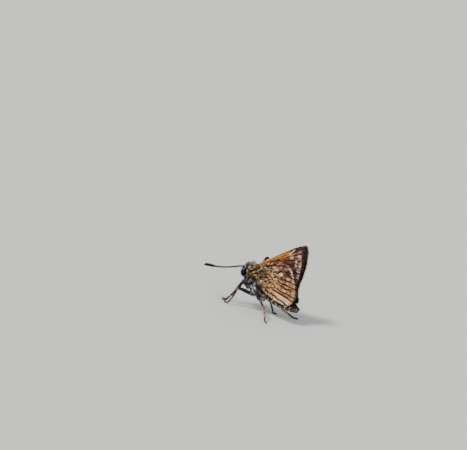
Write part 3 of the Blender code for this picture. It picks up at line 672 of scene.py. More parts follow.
class Wing:
    """One wing: its lines in the plan, and how the plan is laid on its side of the body."""

    def __init__(self, kind, side_name):
        outline, fringe, veins, fanned, *rest = WINGS[kind]
        self.hinge, self.spread, self.under, self.spots, self.tone = rest
        self.kind, self.side = kind, SIDES[side_name]
        self.tuck = HINDWING_TUCK[side_name] if kind == "hindwing" else 0.0
        self.ring, self.margin = outline_line(outline), outline_line(outline, fringe)
        self.costa = self.ring[:fringe[0] * OUTLINE_STEPS + 1]
        self.veins = [spline(vein, VEIN_STEPS) for vein in veins]
        pairs = zip(fanned, fanned[1:])
        self.folds = [(self.veins[a] + self.veins[b])[FOLD_FROM:] / 2 for a, b in pairs]
        self.out = (0, self.side, 0)

    def along(self, points):
        """Where points lie along the body once the wing is drawn forward, least at its inner corner."""
        ease = 0.35 + 0.65 * smooth(1.5, 5, points[:, 1])
        return points[:, 0] - self.tuck * smooth(8, 15, points[:, 0]) * ease

    def placed(self, points, raised):
        """The world's places of points of the plan, raised so far out from the wing's middle."""
        along = self.along(points)
        aside = self.side * (self.spread(along, points[:, 1]) + raised)
        return world(columns(along, aside, points[:, 1]))

    def measured(self, points):
        """How far points lie from the veins, the folds, the membrane's edge and the costa."""
        margin = distances(points, [self.margin]) - FRINGE_SHOWN
        vein, fold = distances(points, self.veins), distances(points, self.folds)
        return vein, fold, margin, distances(points, [self.costa])

    def colour(self, points):
        return self.under(points, *self.measured(points))


def wing_plan(wing):
    """The membrane's flat triangulation. It ends inside the outline, where the fringe takes over."""
    ring = spaced(wing.ring, WING_STEP)[:-1]
    ahead = unit(np.roll(ring, -1, axis=0) - np.roll(ring, 1, axis=0))
    inward = columns(-ahead[:, 1], ahead[:, 0])
    if not inside((ring + inward * 0.05)[:1], ring)[0]:
        inward = -inward
    near = distances(ring, [wing.margin])
    ring = ring + inward * (RIM_IN + FRINGE_RIM_IN * (1 - smooth(0, 0.6, near)))[:, None]
    rim = np.vstack([ring, ring[:1]])
    low, high = ring.min(0), ring.max(0)
    rows = enumerate(np.arange(low[1], high[1], WING_STEP * 0.87))
    grid = np.concatenate([
        columns(np.arange(low[0] + 0.5 * WING_STEP * (k % 2), high[0], WING_STEP), y) for k, y in rows])
    grid = grid[inside(grid, ring)]
    grid = grid[distances(grid, [rim]) > 0.6 * WING_STEP]
    loop = list(range(len(ring)))
    edges = list(zip(loop, loop[1:] + loop[:1]))
    found = delaunay_2d_cdt([Vector(p) for p in np.vstack([ring, grid])], edges, [loop], 1, 0.0001)
    return np.array([v[:] for v in found[0]]), found[2], rim


def wing_form(wing):
    """The membrane's points, faces and colours, with raised veins and folded between them."""
    points, triangles, rim = wing_plan(wing)
    measured = wing.measured(points)
    vein, fold, margin, costa = measured
    bend = 0.02 * noise(points, 1.2, 41)
    bend = bend - FOLD_DEEP * (1 - smooth(0, 0.45, fold)) * smooth(8, 11, wing.along(points))
    half = MEMBRANE / 2 + VEIN_RAISED * (1 - smooth(0, 0.13, vein))
    half = half + COSTA_RAISED * (1 - smooth(0.1, 0.4, costa))
    half = half * (0.35 + 0.65 * smooth(0, 0.12, distances(points, [rim])))
    count = len(points)
    faces = [face for a, b, c in triangles for face in ((a, b, c), (a + count, c + count, b + count))]
    borders = dict.fromkeys(edge for a, b, c in triangles for edge in ((a, b), (b, c), (c, a)))
    faces += [(b, a, a + count, b + count) for a, b in borders if (b, a) not in borders]
    verts = [wing.placed(points, bend + half), wing.placed(points, bend - half)]
    over = wing_over(points, vein, margin, wing.spots, wing.hinge)
    return np.concatenate(verts), faces, np.concatenate([wing.under(points, *measured), over])


def fringe_blades(shape, rng, wing):
    """The scales of the fringe: overlapping rows that leave the margin square, chequered at the veins."""
    line = spaced(wing.margin, FRINGE_STEP)
    count = len(line)
    ahead = unit(np.gradient(line, axis=0))
    out = columns(ahead[:, 1], -ahead[:, 0])
    if inside((line + out * 0.1)[count // 2][None], wing.ring)[0]:
        out = -out
    dark = smooth(0.34, 0.2, distances(line, wing.veins) + 0.05 * noise(line, 0.1, 51))
    for share in FRINGE_ROWS:
        roots = line - out * FRINGE_LONG + rng.normal(0, 0.015, line.shape)
        last = 0.75 * (share == FRINGE_ROWS[-1])
        colour = laid(rgb(wing.tone), ("2a1a14", np.maximum(dark, last))) * rng.uniform(0.8, 1.2, (count, 1))
        roots = wing.placed(roots, rng.normal(0, 0.012, count))
        lie = turned(upright(out, rng.normal(0, 0.06, count)))
        lie += turned(upright(ahead)) * rng.normal(0, 0.1, (count, 1))
        tufts(shape, roots, wing.out, lie, FRINGE_LONG * share * rng.uniform(0.85, 1.03, count),
              FRINGE_WIDE, rng.normal(0, 3, count), colour, wing_uvs(line))


def wing_tufts(shape, rng, wing, colour_of, count, reach, long, wide, lift):
    """Scales or hairs on a wing's outer side, out to a reach from its hinge, that point away from it."""
    points = rng.uniform(wing.ring.min(0), wing.ring.max(0), (count * 8, 2))
    away = np.hypot(*(points - wing.hinge).T)
    near = away < reach + rng.normal(0, 0.15 * reach, len(away))
    points = points[near & inside(points, wing.ring)][:count]
    count = len(points)
    lie = turned(upright(unit(points - wing.hinge))) + rng.normal(0, 0.12, (count, 3))
    colour = colour_of(points) * rng.uniform(0.65, 1.35, (count, 1))
    tufts(shape, wing.placed(points, MEMBRANE / 2 + SCALES_OFF), wing.out, lie,
          long * rng.uniform(0.7, 1.25, count), wide * rng.uniform(0.8, 1.2, count),
          rng.normal(lift, 3, count).clip(2, 30), colour, wing_uvs(points), colour * 1.15)


def root_hair_colour(points):
    """Olive, brown and blackish hair at the wings' roots."""
    choice = 0.7 * grained(points, (3.6, 0.6), 52, 0.8, 0.8) + 0.5 * noise(points, 0.25, 53)
    return laid(
        rgb("7a6240"),
        ("160e0a", 0.9 * smooth(0.03, 0.2, choice)),
        ("e0c194", 0.9 * smooth(-0.2, -0.4, choice)),
        ("8d5c2a", 0.5 * smooth(0.15, 0.5, noise(points, 0.35, 54))),
    )


def front_scales(shape, rng, wing):
    """Scales that lie along the wing's thick front edge, tawny or brown with dark ones between."""
    line = spaced(wing.costa[4:-1], 0.016)
    count = len(line)
    ahead = unit(np.gradient(line, axis=0))
    out = columns(-ahead[:, 1], ahead[:, 0])
    roots = line - out * rng.uniform(0.06, 0.3, (count, 1))
    across = rng.uniform(-1, 1, count)
    tawny = wing.kind == "forewing"
    dark = np.maximum(smooth(6, 9.5, line[:, 1]), noise(line, 0.5, 55) > 0.12)
    colour = laid(
        rgb("c0762e" if tawny else "7a5a40"),
        ("f2b458", 0.9 * (rng.uniform(0, 1, count) < 0.3 * tawny)),
        ("1d110c", 0.9 * (rng.uniform(0, 1, count) < 0.2 + 0.5 * dark)),
        ("6f5d3a", 0.8 * smooth(4.6, 3.4, line[:, 1])),
    )
    tufts(shape, wing.placed(roots, across * (MEMBRANE / 2 + COSTA_RAISED)),
          turned(upright(0.5 * out, wing.side * np.sign(across))), turned(upright(ahead + 0.25 * out)),
          rng.uniform(0.22, 0.38, count), 0.07, rng.normal(8, 3, count), colour, wing_uvs(line))


def corner_hair(shape, rng, wing):
    """Long blackish hair from the hindwing's inner corner and margin, on the side towards the body."""
    line = spaced(outline_line(HINDWING_OUTLINE, HINDWING_CORNER), 0.01)
    count = len(line)
    line = line + columns(rng.uniform(-0.7, -0.1, count), rng.uniform(0.05, 0.5, count))
    corner = smooth(12, 15, line[:, 0])
    colour = rgb("0f0a0a") * rng.uniform(0.6, 1.6, (count, 1))
    colour = laid(colour, ("b3a494", 0.85 * (1 - corner) * (rng.uniform(0, 1, count) < 0.6)))
    lie = turned(columns(0.5 + 0.5 * corner, -0.1 * wing.side, -0.8 + 0.75 * corner))
    long = 0.45 + (0.5 if wing.tuck else 0.4) * corner
    tufts(shape, wing.placed(line, -0.12), wing.out, lie + rng.normal(0, 0.12, (count, 3)),
          long * rng.uniform(0.7, 1.2, count), 0.06, rng.normal(0, 4, count), colour, wing_uvs(line))


def make_wings():
    rng = np.random.default_rng(SEEDS["wings"])
    for kind, side_name in itertools.product(WINGS, SIDES):
        wing, node = Wing(kind, side_name), kind + "_" + side_name
        membrane, fringe, cover = Shape(), Shape(), Shape()
        membrane.add(*wing_form(wing))
        membrane.piece(node + "_membrane", MATERIALS[kind], kind, [node])
        fringe_blades(fringe, rng, wing)
        fringe.piece(node + "_fringe", MATERIALS["fringe"], kind, unwrap=True)
        wing_tufts(cover, rng, wing, wing.colour, *SCALES)
        wing_tufts(cover, rng, wing, root_hair_colour, *ROOT_HAIR)
        front_scales(cover, rng, wing)
        if kind == "hindwing":
            corner_hair(cover, rng, wing)
        cover.piece(node + "_scales", MATERIALS["fringe"], kind, unwrap=True)


# The flesh: how far it is grown to join its solids, the cell of the joined surface, and how deep
# below the solids it lies along the body, which is the coat's depth.
JOINING = 0.22
JOINED_CELL = 0.14
COAT_DEPTH = ((0.0, 2.2, 3.2, 8.5, 9.5, 17.0), (0.12, 0.12, 0.3, 0.3, 0.15, 0.1))

# The eyes and palps: middle on the right, half sizes, turns, and rings and sides of the mesh.
EYE_MIDDLE = (1.42, 0.85, 0.38)
EYE_SIZE = (0.67, 0.71, 1.08)
EYE_TURN = math.radians(24)
EYE_LEAN = math.radians(14)
EYE_MESH = (28, 40)
PALP_MIDDLE = (0.78, 0.42, -0.05)
PALP_SIZE = (0.6552, 0.2376, 0.2592)
PALP_TURN = math.radians(118)
PALP_MESH = (16, 20)
# The palps' scales: number, length, width and lift. Then their thin last joint from its root on.
PALP_SCALES = (1400, 0.36, 0.05, 24)
PALP_POINT = np.array([(0, 0, 0), (-0.12, 0.02, 0.2), (-0.16, 0.04, 0.36)])
PALP_POINT_RADII = (0.1, 0.07, 0.03)
# The abdomen's axis as (along, above), its rings' length, the shoulder's stripes' width, and how
# many hairs the beard has.
ABDOMEN_START = (9.05, -0.9)
ABDOMEN_END = (17.5, 0.05)
RING_LONG = 1.15
STRIPE_LONG = 0.85
BEARD_HAIRS = 1500

# The coat's stretches: tufts, where along the body, lengths, width, and the lift and its spread.
COATS = {
    "head": (8500, (-math.inf, 2.9), (0.35, 0.7), 0.04, (24, 9)),
    "thorax": (12300, (2.6, 9.1), (0.6, 1.25), 0.05, (22, 9)),
    "abdomen": (10500, (8.8, math.inf), (0.28, 0.5), 0.09, (10, 5)),
}

# Small marks of the head and shoulders: along, above, size, colour. Then the black lash's line.
DABS = [
    (1.1, 1.5, 0.24, "fffbff"), (1.98, 0.95, 0.26, "fffbff"), (1.8, -0.75, 0.42, "fff8f0"),
    (2.6, 0.5, 0.22, "7a5034"), (3.15, 1.45, 0.4, "0e0908"), (2.75, -0.05, 0.2, "c9a08c"),
    (3.3, 0.85, 0.2, "a58a68"), (2.35, -0.1, 0.2, "a58a68"), (4.6, 0.4, 0.45, "191314"),
    (5.9, -0.8, 0.24, "f0eaf0"), (5.3, -0.3, 0.2, "d8d2dc"), (4.4, -1.0, 0.3, "100c0e"),
    (7.0, -1.4, 0.5, "171214"), (3.9, -0.35, 0.15, "f0ebf6"), (4.95, -1.35, 0.15, "e6e2f0"),
    (3.5, 0.15, 0.24, "0b0809"), (4.7, -0.45, 0.34, "0b0809"), (4.2, -0.8, 0.3, "0b0809"),
    (3.4, -0.75, 0.26, "0b0809"),
]
LASH = np.array([(-0.1, 0.5), (0.25, 1.0), (0.55, 1.6), (0.75, 2.1)])


def abdomen_axis(along):
    """How high the abdomen's middle lies, in body coordinates."""
    return np.interp(along, *zip(ABDOMEN_START, ABDOMEN_END))


def smoothed(form, times):
    for _ in range(times):
        bmesh.ops.smooth_vert(form, verts=form.verts, factor=0.5, use_axis_x=True, use_axis_y=True,
                              use_axis_z=True)
    form.normal_update()


def flesh(nodes):
    """One smooth closed surface in place of some solids, which lies a coat's depth inside them."""
    form = bmesh.new()
    for node in nodes:
        form.from_mesh(frame["nodes"][node].data)
    bmesh.ops.scale(form, vec=(1 / MM, 1 / MM, 1 / MM), verts=form.verts)
    bmesh.ops.remove_doubles(form, verts=form.verts, dist=0.001)
    form.normal_update()
    for vert in form.verts:
        vert.co += vert.normal * JOINING
    mesh = bpy.data.meshes.new("flesh")
    form.to_mesh(mesh)
    form.free()
    made = shown("flesh", mesh)
    joined = made.modifiers.new("joined", "REMESH")
    joined.mode = "VOXEL"
    joined.voxel_size = JOINED_CELL
    form = bmesh.new()
    form.from_object(made, bpy.context.evaluated_depsgraph_get())
    bpy.data.objects.remove(made)
    smoothed(form, 4)
    for vert in form.verts:
        vert.co -= vert.normal * (JOINING + np.interp(body(vert.co[:])[0], *COAT_DEPTH))
    smoothed(form, 3)
    points = np.array([v.co[:] for v in form.verts])
    normals = np.array([v.normal[:] for v in form.verts])
    faces = [tuple(v.index for v in face.verts) for face in form.faces]
    form.free()
    return points, normals, faces


def strewn(rng, points, normals, faces, count, weight=None):
    """Random places on a surface with their normals, more of them where a weight is greater."""
    corners = triangles_of(faces)
    a, b, c = (points[corner] for corner in corners.T)
    share = np.linalg.norm(np.cross(b - a, c - a), axis=1)
    if weight:
        share = share * weight((a + b + c) / 3)
    chosen = corners[rng.choice(len(corners), count, p=share / share.sum())]
    mix = rng.dirichlet((1, 1, 1), count)[:, :, None]
    return (points[chosen] * mix).sum(1), unit((normals[chosen] * mix).sum(1))


def eye_ring(at):
    """How far out from the eye's middle places lie, seen from the side: 1 is its rim."""
    return np.hypot((at[:, 0] - EYE_MIDDLE[0]) / EYE_SIZE[0], (at[:, 2] - EYE_MIDDLE[2]) / EYE_SIZE[2])


def front_colour(at):
    """The coat's colours on head and thorax: patches, a striped shoulder, a pale crest and dabs."""
    along, aside, above = at.T
    out = np.abs(aside)
    patchy = 0.6 * noise(at, (0.55, 0.55, 0.4), 61) + 0.5 * noise(at, (0.25, 0.25, 0.2), 60)
    across = columns(along * 0.91 - above * 0.41, along * 0.41 + above * 0.91, out)
    streak = noise(across, (0.22, 2.4, 1.2), 62) + 0.3 * noise(across, (0.12, 1.5, 0.6), 59)
    flank = span(along, 2, 2.5, 4.4, 6.2) * span(above, 0.7, 1.3, 3.2, 3.7)
    side = span(along, 2.2, 2.8, 4.4, 6.2) * span(above, -0.3, 0.3, 1.2, 2)
    slant = along * 0.8 - above * 0.6
    stripes = np.sin(2 * math.pi * slant / STRIPE_LONG + noise(at, 0.9, 58)) + 0.3 * streak
    crest = smooth(5.6, 4, along) * smooth(2.5, 3.1, above + 0.6 * (2.6 - along).clip(0, 3))
    loin = smooth(5.8, 6.8, along) * smooth(-0.5, -1.1, above)
    chest = smooth(5.2, 3.8, along) * smooth(-0.4, -1, above)
    ragged = 0.12 * noise(at, 0.3, 65)
    dabs = [(tone, 0.95 * smooth(1.25 * size, 0.6 * size, np.hypot(along - x, above - y) + ragged)
             * smooth(0.2, 0.5, out)) for x, y, size, tone in DABS]
    return laid(
        rgb("3f3633"),
        ("110d0e", 0.95 * smooth(0.15, -0.15, patchy)),
        ("e6e0ec", 0.9 * smooth(0.27, 0.42, patchy)),
        ("77716f", 0.8 * smooth(0.3, 1.6, above) * smooth(8.9, 5.5, along)),
        ("1c1718", 0.85 * smooth(0.1, -0.15, patchy) * smooth(0.9, 1.3, above) * smooth(2.6, 2.2, along)),
        ("625036", 0.85 * side),
        ("1a120d", 0.9 * side * smooth(0, -0.3, patchy + 0.5 * streak)),
        ("c9a98a", 0.8 * side * smooth(0.3, 0.6, patchy + 0.4 * streak)),
        ("a8823e", 0.95 * flank),
        ("fbdf9c", 0.97 * flank * smooth(0.2, 0.5, stripes)),
        ("060404", 0.98 * flank * smooth(0.05, -0.15, stripes)),
        ("948a8e", 0.95 * crest),
        ("f4eef4", 0.75 * crest * smooth(0.15, 0.45, streak)),
        ("241c20", 0.8 * crest * smooth(-0.1, -0.4, streak + 0.4 * patchy)),
        ("78747c", 0.7 * loin * smooth(-0.2, 0.2, patchy)),
        ("e6e2e6", 0.6 * loin * smooth(0.2, 0.45, noise(across, (0.25, 0.6, 0.3), 63))),
        ("b3a8aa", 0.6 * chest * smooth(-0.1, 0.35, noise(across, 0.3, 64))),
        ("c9bda4", 0.8 * smooth(2.7, 2.3, along) * smooth(1, 0.4, above)),
        ("1a1517", 0.85 * span(eye_ring(at), 0.95, 1.05, 1.25, 1.5) * smooth(0.5, 0.8, out)),
        *dabs,
        ("080506", smooth(0.45, 0.28, distances(columns(along, above), [LASH]))),
    )


def abdomen_colour(at):
    """The abdomen's colours: dark rings with pale rear edges, and a black tip."""
    along, above = at[:, 0], at[:, 2]
    high = above - abdomen_axis(along)
    ring = np.mod((along - ABDOMEN_START[0]) / RING_LONG + 0.06 * noise(at, 0.5, 66), 1)
    broken = noise(at, (0.45, 0.4, 0.4), 67)
    return laid(
        rgb("33261f"),
        ("7d6a58", 0.75 * smooth(0.3, -0.9, high)),
        ("d6cacb", 0.85 * smooth(0.74, 0.88, ring + 0.12 * noise(at, 0.22, 69)) * smooth(0.9, 0.2, high)),
        ("8b7a60", 0.7 * smooth(0.75, 0.9, ring) * smooth(0.2, 0.9, high)),
        ("150f10", 0.8 * smooth(0.16, 0.04, np.abs(ring - 0.12)) * smooth(1.2, 0.4, high)),
        ("0e0909", 0.92 * smooth(0.08, 0.3, broken) * smooth(-1.2, -0.4, high)),
        ("80583a", 0.9 * smooth(15.9, 16.5, along) * smooth(0.5, 0.1, high)
         * smooth(-0.3, 0.1, broken + 0.3)),
        ("0d0808", 0.95 * smooth(15.2, 15.9, along) * smooth(0.3, 0.6, high)),
        ("0d0808", 0.95 * smooth(0.5, 0.25, np.hypot(along - 16.9, high + 0.55))),
    )


def body_colour(at):
    """The coat's colours at body coordinates."""
    tail = smooth(8.8, 9.3, at[:, 0])[:, None]
    return front_colour(at) * (1 - tail) + abdomen_colour(at) * tail


def body_lie(at):
    """Which way the coat lies in the world, at body coordinates."""
    along, aside, above = at.T
    up, side = smooth(-0.9, 0.5, above), np.sign(aside)
    thorax = columns(1 - 0.25 * up, 0.12 * side, -0.75 + 1.7 * up)
    head = columns(0.15 + 0.35 * smooth(0.4, 2, along), 0.25 * side, np.where(above > -0.2, 1, -0.6))
    front, rear = smooth(2.7, 2.1, along)[:, None], smooth(8, 9.2, along)[:, None]
    return turned(head * front + (thorax * (1 - rear) + np.array([1, 0, -0.05]) * rear) * (1 - front))


def thickness(at):
    """How thick the coat grows: thin below the eyes' domes and thick on the crest."""
    under_eye = (eye_ring(at) < 0.92) & (np.abs(at[:, 1]) > 0.7)
    crest = smooth(1, 1.8, at[:, 2]) * smooth(4.6, 3.6, at[:, 0])
    return (1 + 1.5 * crest) * np.where(under_eye, 0.15, 1)


def body_uvs(at):
    """An unwrap of the skin's own shape: along it, and round it."""
    turn = np.arctan2(at[:, 1], at[:, 2] + 0.4) / (2 * math.pi)
    return columns(UNWRAP_FIRST + at[:, 0] / UNWRAP_BODY, 0.5 + UNWRAP_SHARE * turn)


def body_tufts(rng, name, surface):
    """One stretch of the body's coat, on the flesh's surface."""
    count, (first, last), (short, long), wide, (lift, spread) = COATS[name]

    def weight(points):
        at = body(points)
        return ((at[:, 0] >= first) & (at[:, 0] < last)) * thickness(at)

    roots, normals = strewn(rng, *surface, count, weight)
    at = body(roots)
    along, above = at[:, 0], at[:, 2]
    colour = body_colour(at)
    shade = rng.choice(BODY_SHADES[0], (count, 1), p=BODY_SHADES[1])
    yellow = (span(along, 2, 2.4, 4.4, 5.5) * smooth(0.8, 1.4, above))[:, None]
    shade = shade + (rng.uniform(0.85, 1.15, (count, 1)) - shade) * yellow
    colour = colour * np.where(colour.min(1, keepdims=True) > 0.65, np.maximum(shade, 0.9), shade)
    white = colour.min(1)
    neck = span(along, 1.4, 2, 2.8, 3.2) * smooth(0.9, 1.5, above)
    crest = smooth(1.2, 2.2, above) * smooth(4.8, 3.6, along)
    below = smooth(-0.1, -0.6, above) * span(along, 0.9, 1.4, 2.8, 3.4)
    brow = smooth(0.7, 1.2, above) * smooth(2.2, 1.7, along)
    tip = smooth(16.2, 17.2, along)
    rump = smooth(13.5, 14.5, along) * smooth(0.1, 0.5, above - abdomen_axis(along))
    lengths = rng.uniform(short, long, count) * (1 + 0.25 * neck) * (1 + 0.5 * tip + 0.7 * rump)
    if name == "thorax":
        lengths *= 1 - 0.38 * smooth(2.2, 3, above) * smooth(6, 4.5, along)
        lengths *= 1 - 0.5 * smooth(-0.6, -1, above) * smooth(5.6, 4.6, along)
    if name == "head":
        lengths *= (1 + 0.7 * brow) * (0.45 + 0.75 * np.maximum.reduce([neck, brow, crest, 1.3 * below]))
        lengths[(white > 0.5) & (above > 0.3)] = 0.42
    lies = body_lie(at) + rng.normal(0, 0.14, (count, 3)) * (1 - 0.6 * yellow)
    widths = wide * rng.uniform(0.7, 1.2, count)
    lifts = rng.normal(lift, spread, count) + 25 * (white > 0.6)
    lifts += 18 * np.maximum.reduce([neck, brow, crest, below]) + 12 * np.maximum(tip, rump)
    coat = Shape()
    tufts(coat, roots, normals, lies, lengths, widths, lifts.clip(3, 60), colour, body_uvs(at), colour * 1.25)
    coat.piece(name + "_coat", MATERIALS["fur"], "abdomen_coat" if name == "abdomen" else "body_coat",
               unwrap=True)


def make_body():
    rng = np.random.default_rng(SEEDS["body"])
    nodes = list(COATS)
    points, normals, faces = flesh(nodes)
    skin = Shape()
    # The skin takes the coat's colours darkened: painted shade below the hair.
    skin.add(points, faces, body_colour(body(points)) * SKIN_PAINTED_SHADE)
    skin.piece("body_skin", MATERIALS["skin"], "body_coat", nodes)
    for name in nodes:
        body_tufts(rng, name, (points, normals, faces))


def make_beard():
    """Pale hair that hangs from the cheeks and throat into the gap above the forelegs."""
    rng = np.random.default_rng(SEEDS["beard"])
    count = BEARD_HAIRS
    along, aside = rng.uniform(1.1, 2.9, count), rng.uniform(-1, 1, count)
    at = columns(along, aside, -0.25 - 0.3 * rng.uniform(0, 1, count))
    colour = laid(
        rgb("8f8a92"),
        ("f4eee6", smooth(2.2, 1.9, along) * smooth(0.35, 0.5, np.abs(aside))),
        ("221c20", 0.9 * (noise(at, 0.35, 68) > 0.25) * smooth(1.9, 2.2, along)),
    ) * rng.uniform(0.7, 1.2, (count, 1))
    lie = columns(0.15 + 0.5 * smooth(1.8, 2.9, along), 0.1 * aside, -1) + rng.normal(0, 0.14, (count, 3))
    lengths = rng.uniform(0.45, 1, count) * (0.75 + 0.5 * smooth(1.8, 2.6, along))
    coat = Shape()
    tufts(coat, world(at), turned(columns(-0.8, 0.4 * np.sign(aside), -0.1)), turned(lie), lengths, 0.05,
          rng.normal(4, 6, count), colour, body_uvs(at), colour * 1.1)
    coat.piece("throat_coat", MATERIALS["fur"], "body_coat", unwrap=True)


def ellipsoid(size, steps, sides):
    """An ellipsoid about the origin, with its ends on the first axis: its points and faces."""
    polar = np.linspace(0, math.pi, steps + 1)[1:-1]
    turns = 2 * math.pi * np.arange(sides) / sides
    points = [(math.cos(p), math.sin(p) * math.cos(t), math.sin(p) * math.sin(t))
              for p in polar for t in turns]
    return np.array(points + [(1, 0, 0), (-1, 0, 0)]) * size, grid_faces(len(polar), sides)


def spun(x, y, turn):
    """Two coordinates after a turn from the first axis towards the second."""
    c, s = math.cos(turn), math.sin(turn)
    return x * c - y * s, x * s + y * c


def make_eyes():
    for side_name, side in SIDES.items():
        form, faces = ellipsoid(EYE_SIZE, *EYE_MESH)
        length, high = spun(form[:, 0], form[:, 2], EYE_LEAN)
        ahead, aside = spun(length, form[:, 1], EYE_TURN)
        at = (columns(ahead, aside, high) + EYE_MIDDLE) * (1, side, 1)
        bands = noise(at, (0.9, 0.9, 0.22), 71)
        # The eye is painted black, with a violet band across its upper front that is painted sheen.
        painted_sheen = span(high, -0.25, 0.1, 0.8, 1) * span(length, -0.45, -0.2, 0.1, 0.35)
        shape = Shape()
        shape.add(world(at), faces, laid(
            rgb("07060b"),
            ("27214e", 0.95 * painted_sheen * smooth(-0.7, 0.2, bands + 0.3)),
            # A lighter violet in the middle of that band: a painted highlight.
            ("615791", 0.6 * painted_sheen * smooth(0, 0.4, bands + 0.15)),
        ))
        shape.piece("eye_" + side_name + "_dome", MATERIALS["eye"], "eye", ["eye_" + side_name])


def rod_uvs(points, path, first, share):
    """An unwrap of a rod's own shape: along it, in its share of the square, and round it."""
    ahead = unit(path[-1] - path[0])
    across = unit(np.cross(ahead, (0.1, 0.2, 1.0)))
    over = np.cross(across, ahead)
    nearest = np.linalg.norm(points[:, None] - path[None], axis=2).argmin(1)
    offset = points - path[nearest]
    turn = np.arctan2(offset @ over, offset @ across) / (2 * math.pi)
    return columns(first + share * nearest / (len(path) - 1), 0.5 + UNWRAP_SHARE * turn)


def coat_of(shape, rng, points, faces, colour_of, path, room, lie, count, long, wide, lift):
    """Scales all over a rod along a path, with their room in the unwrap: its start and its share."""
    faces = outwards(points, faces)
    form = bmesh.new()
    verts = [form.verts.new(p) for p in points]
    for face in faces:
        form.faces.new([verts[k] for k in face])
    form.normal_update()
    normals = np.array([v.normal[:] for v in form.verts])
    form.free()
    roots, out = strewn(rng, points, normals, faces, count)
    colour = colour_of(roots) * rng.choice(ROD_SHADES[0], (count, 1), p=ROD_SHADES[1])
    tufts(shape, roots, out, lie + rng.normal(0, 0.15, (count, 3)), long * rng.uniform(0.7, 1.2, count),
          wide * rng.uniform(0.7, 1.2, count), rng.normal(lift, 5, count).clip(2, 40), colour,
          rod_uvs(roots, path, *room), colour * 1.2)


def palp_colour(points):
    at = body(points)
    return laid(
        rgb("d6c3a6"),
        ("8d7a66", 0.7 * smooth(0, 0.35, noise(at, (0.2, 0.2, 0.3), 82))),
        ("332727", 0.9 * smooth(0.2, 0.4, noise(at, (0.16, 0.16, 0.3), 81))),
    )


def make_palps():
    rng = np.random.default_rng(SEEDS["palps"])
    heading = np.array([math.cos(PALP_TURN), 0, math.sin(PALP_TURN)])
    tip = PALP_MIDDLE + 0.55 * heading + (0, 0.05, 0)
    for side_name, side in SIDES.items():
        name = "palp_" + side_name
        form, faces = ellipsoid(PALP_SIZE, *PALP_MESH)
        ahead, high = spun(form[:, 0], form[:, 2], PALP_TURN)
        points = world((columns(ahead, form[:, 1], high) + PALP_MIDDLE) * (1, side, 1))
        skin, coat = Shape(), Shape()
        # The skin takes the palp's colours darkened: painted shade below its scales.
        skin.add(points, faces, palp_colour(points) * SKIN_PAINTED_SHADE)
        point = world((tip + PALP_POINT) * (1, side, 1))
        skin.add(*sweep(point, PALP_POINT_RADII, 10)[:2], rgb("2a1f1c"))
        skin.piece(name + "_skin", MATERIALS["skin"], "palp", [name])
        coat_of(coat, rng, points, faces, palp_colour, spaced(points[[-2, -1]], 0.1),
                (UNWRAP_FIRST, UNWRAP_SHARE), turned(heading), *PALP_SCALES)
        coat.piece(name + "_coat", MATERIALS["fur"], "palp", unwrap=True)


# The antennae: root in body coordinates, radii, a ring's length, and their lines from the root on,
# in the world with the distance from the midplane in the middle.
ANTENNA_ROOT = (0.8, 0.5, 1.2)
ANTENNA_SHAFT = 0.19
ANTENNA_CLUB = 0.34
ANTENNA_RING = 0.24
ANTENNAE = {
    "left": [(-4.5, -0.7, 9.22), (-6.3, -1.6, 8.55), (-8.1, -2.45, 8.05), (-9.8, -3.2, 7.8),
             (-10.9, -3.7, 7.8), (-11.7, -4.1, 7.75), (-12.15, -4.35, 7.6)],
    "right": [(-4.5, 0.9, 9.15), (-4.15, 2.9, 8.65), (-3.85, 4.7, 8.3), (-3.6, 6.5, 8.25),
              (-3.5, 7.7, 8.75), (-3.5, 8.55, 9.75), (-3.35, 9.05, 10.4), (-2.8, 9.55, 10.42)],
}


def make_antennae():
    for side_name, side in SIDES.items():
        root = world(np.array(ANTENNA_ROOT) * (1, side, 1))
        path = spaced(spline([root] + [beside(p) for p in ANTENNAE[side_name]], 24), 0.045)
        runs = run_of(path)
        left, ring = runs[-1] - runs, np.mod(runs / ANTENNA_RING, 1)
        radii = ANTENNA_SHAFT + (ANTENNA_CLUB - ANTENNA_SHAFT) * smooth(3, 2, left) * smooth(0, 0.6, left)
        radii = radii * (1 - 0.6 * smooth(0.4, 0, left))
        radii = radii * (1 - 0.1 * smooth(0.7, 1, ring) - 0.1 * smooth(0.3, 0, ring))
        verts, faces, at, turns = sweep(path, radii, 20)
        steps = np.linspace(0, 1, len(path))
        left, ring = places(at, steps, columns(left, ring)).T
        below = smooth(-0.2, -0.8, np.cos(turns))
        colour = laid(
            rgb("100c0c"),
            ("4a3f38", 0.8 * smooth(0.7, 0.9, ring) * smooth(2.2, 3.2, left)),
            ("b59a6c", 0.75 * below * smooth(0.75, 0.95, ring) * smooth(2.2, 3.2, left)),
            ("b07f48", 0.6 * below * span(left, 1, 1.9, 2.5, 3.3)),
            ("33201a", 0.6 * smooth(0.5, 0.1, left)),
        )
        if side_name == "right":
            facing = unit(verts - places(at, steps, path)) @ (-0.75, -0.6, 0.1)
            facing = facing + 0.5 * noise(verts, 0.25, 83)
            colour = laid(colour, ("8a4450", 0.75 * smooth(0, 0.9, facing) * smooth(2.6, 1.8, left)))
        shape, name = Shape(), "antenna_" + side_name
        shape.add(verts, faces, colour)
        shape.piece(name + "_shaft", MATERIALS["feeler"], "antenna", [name])


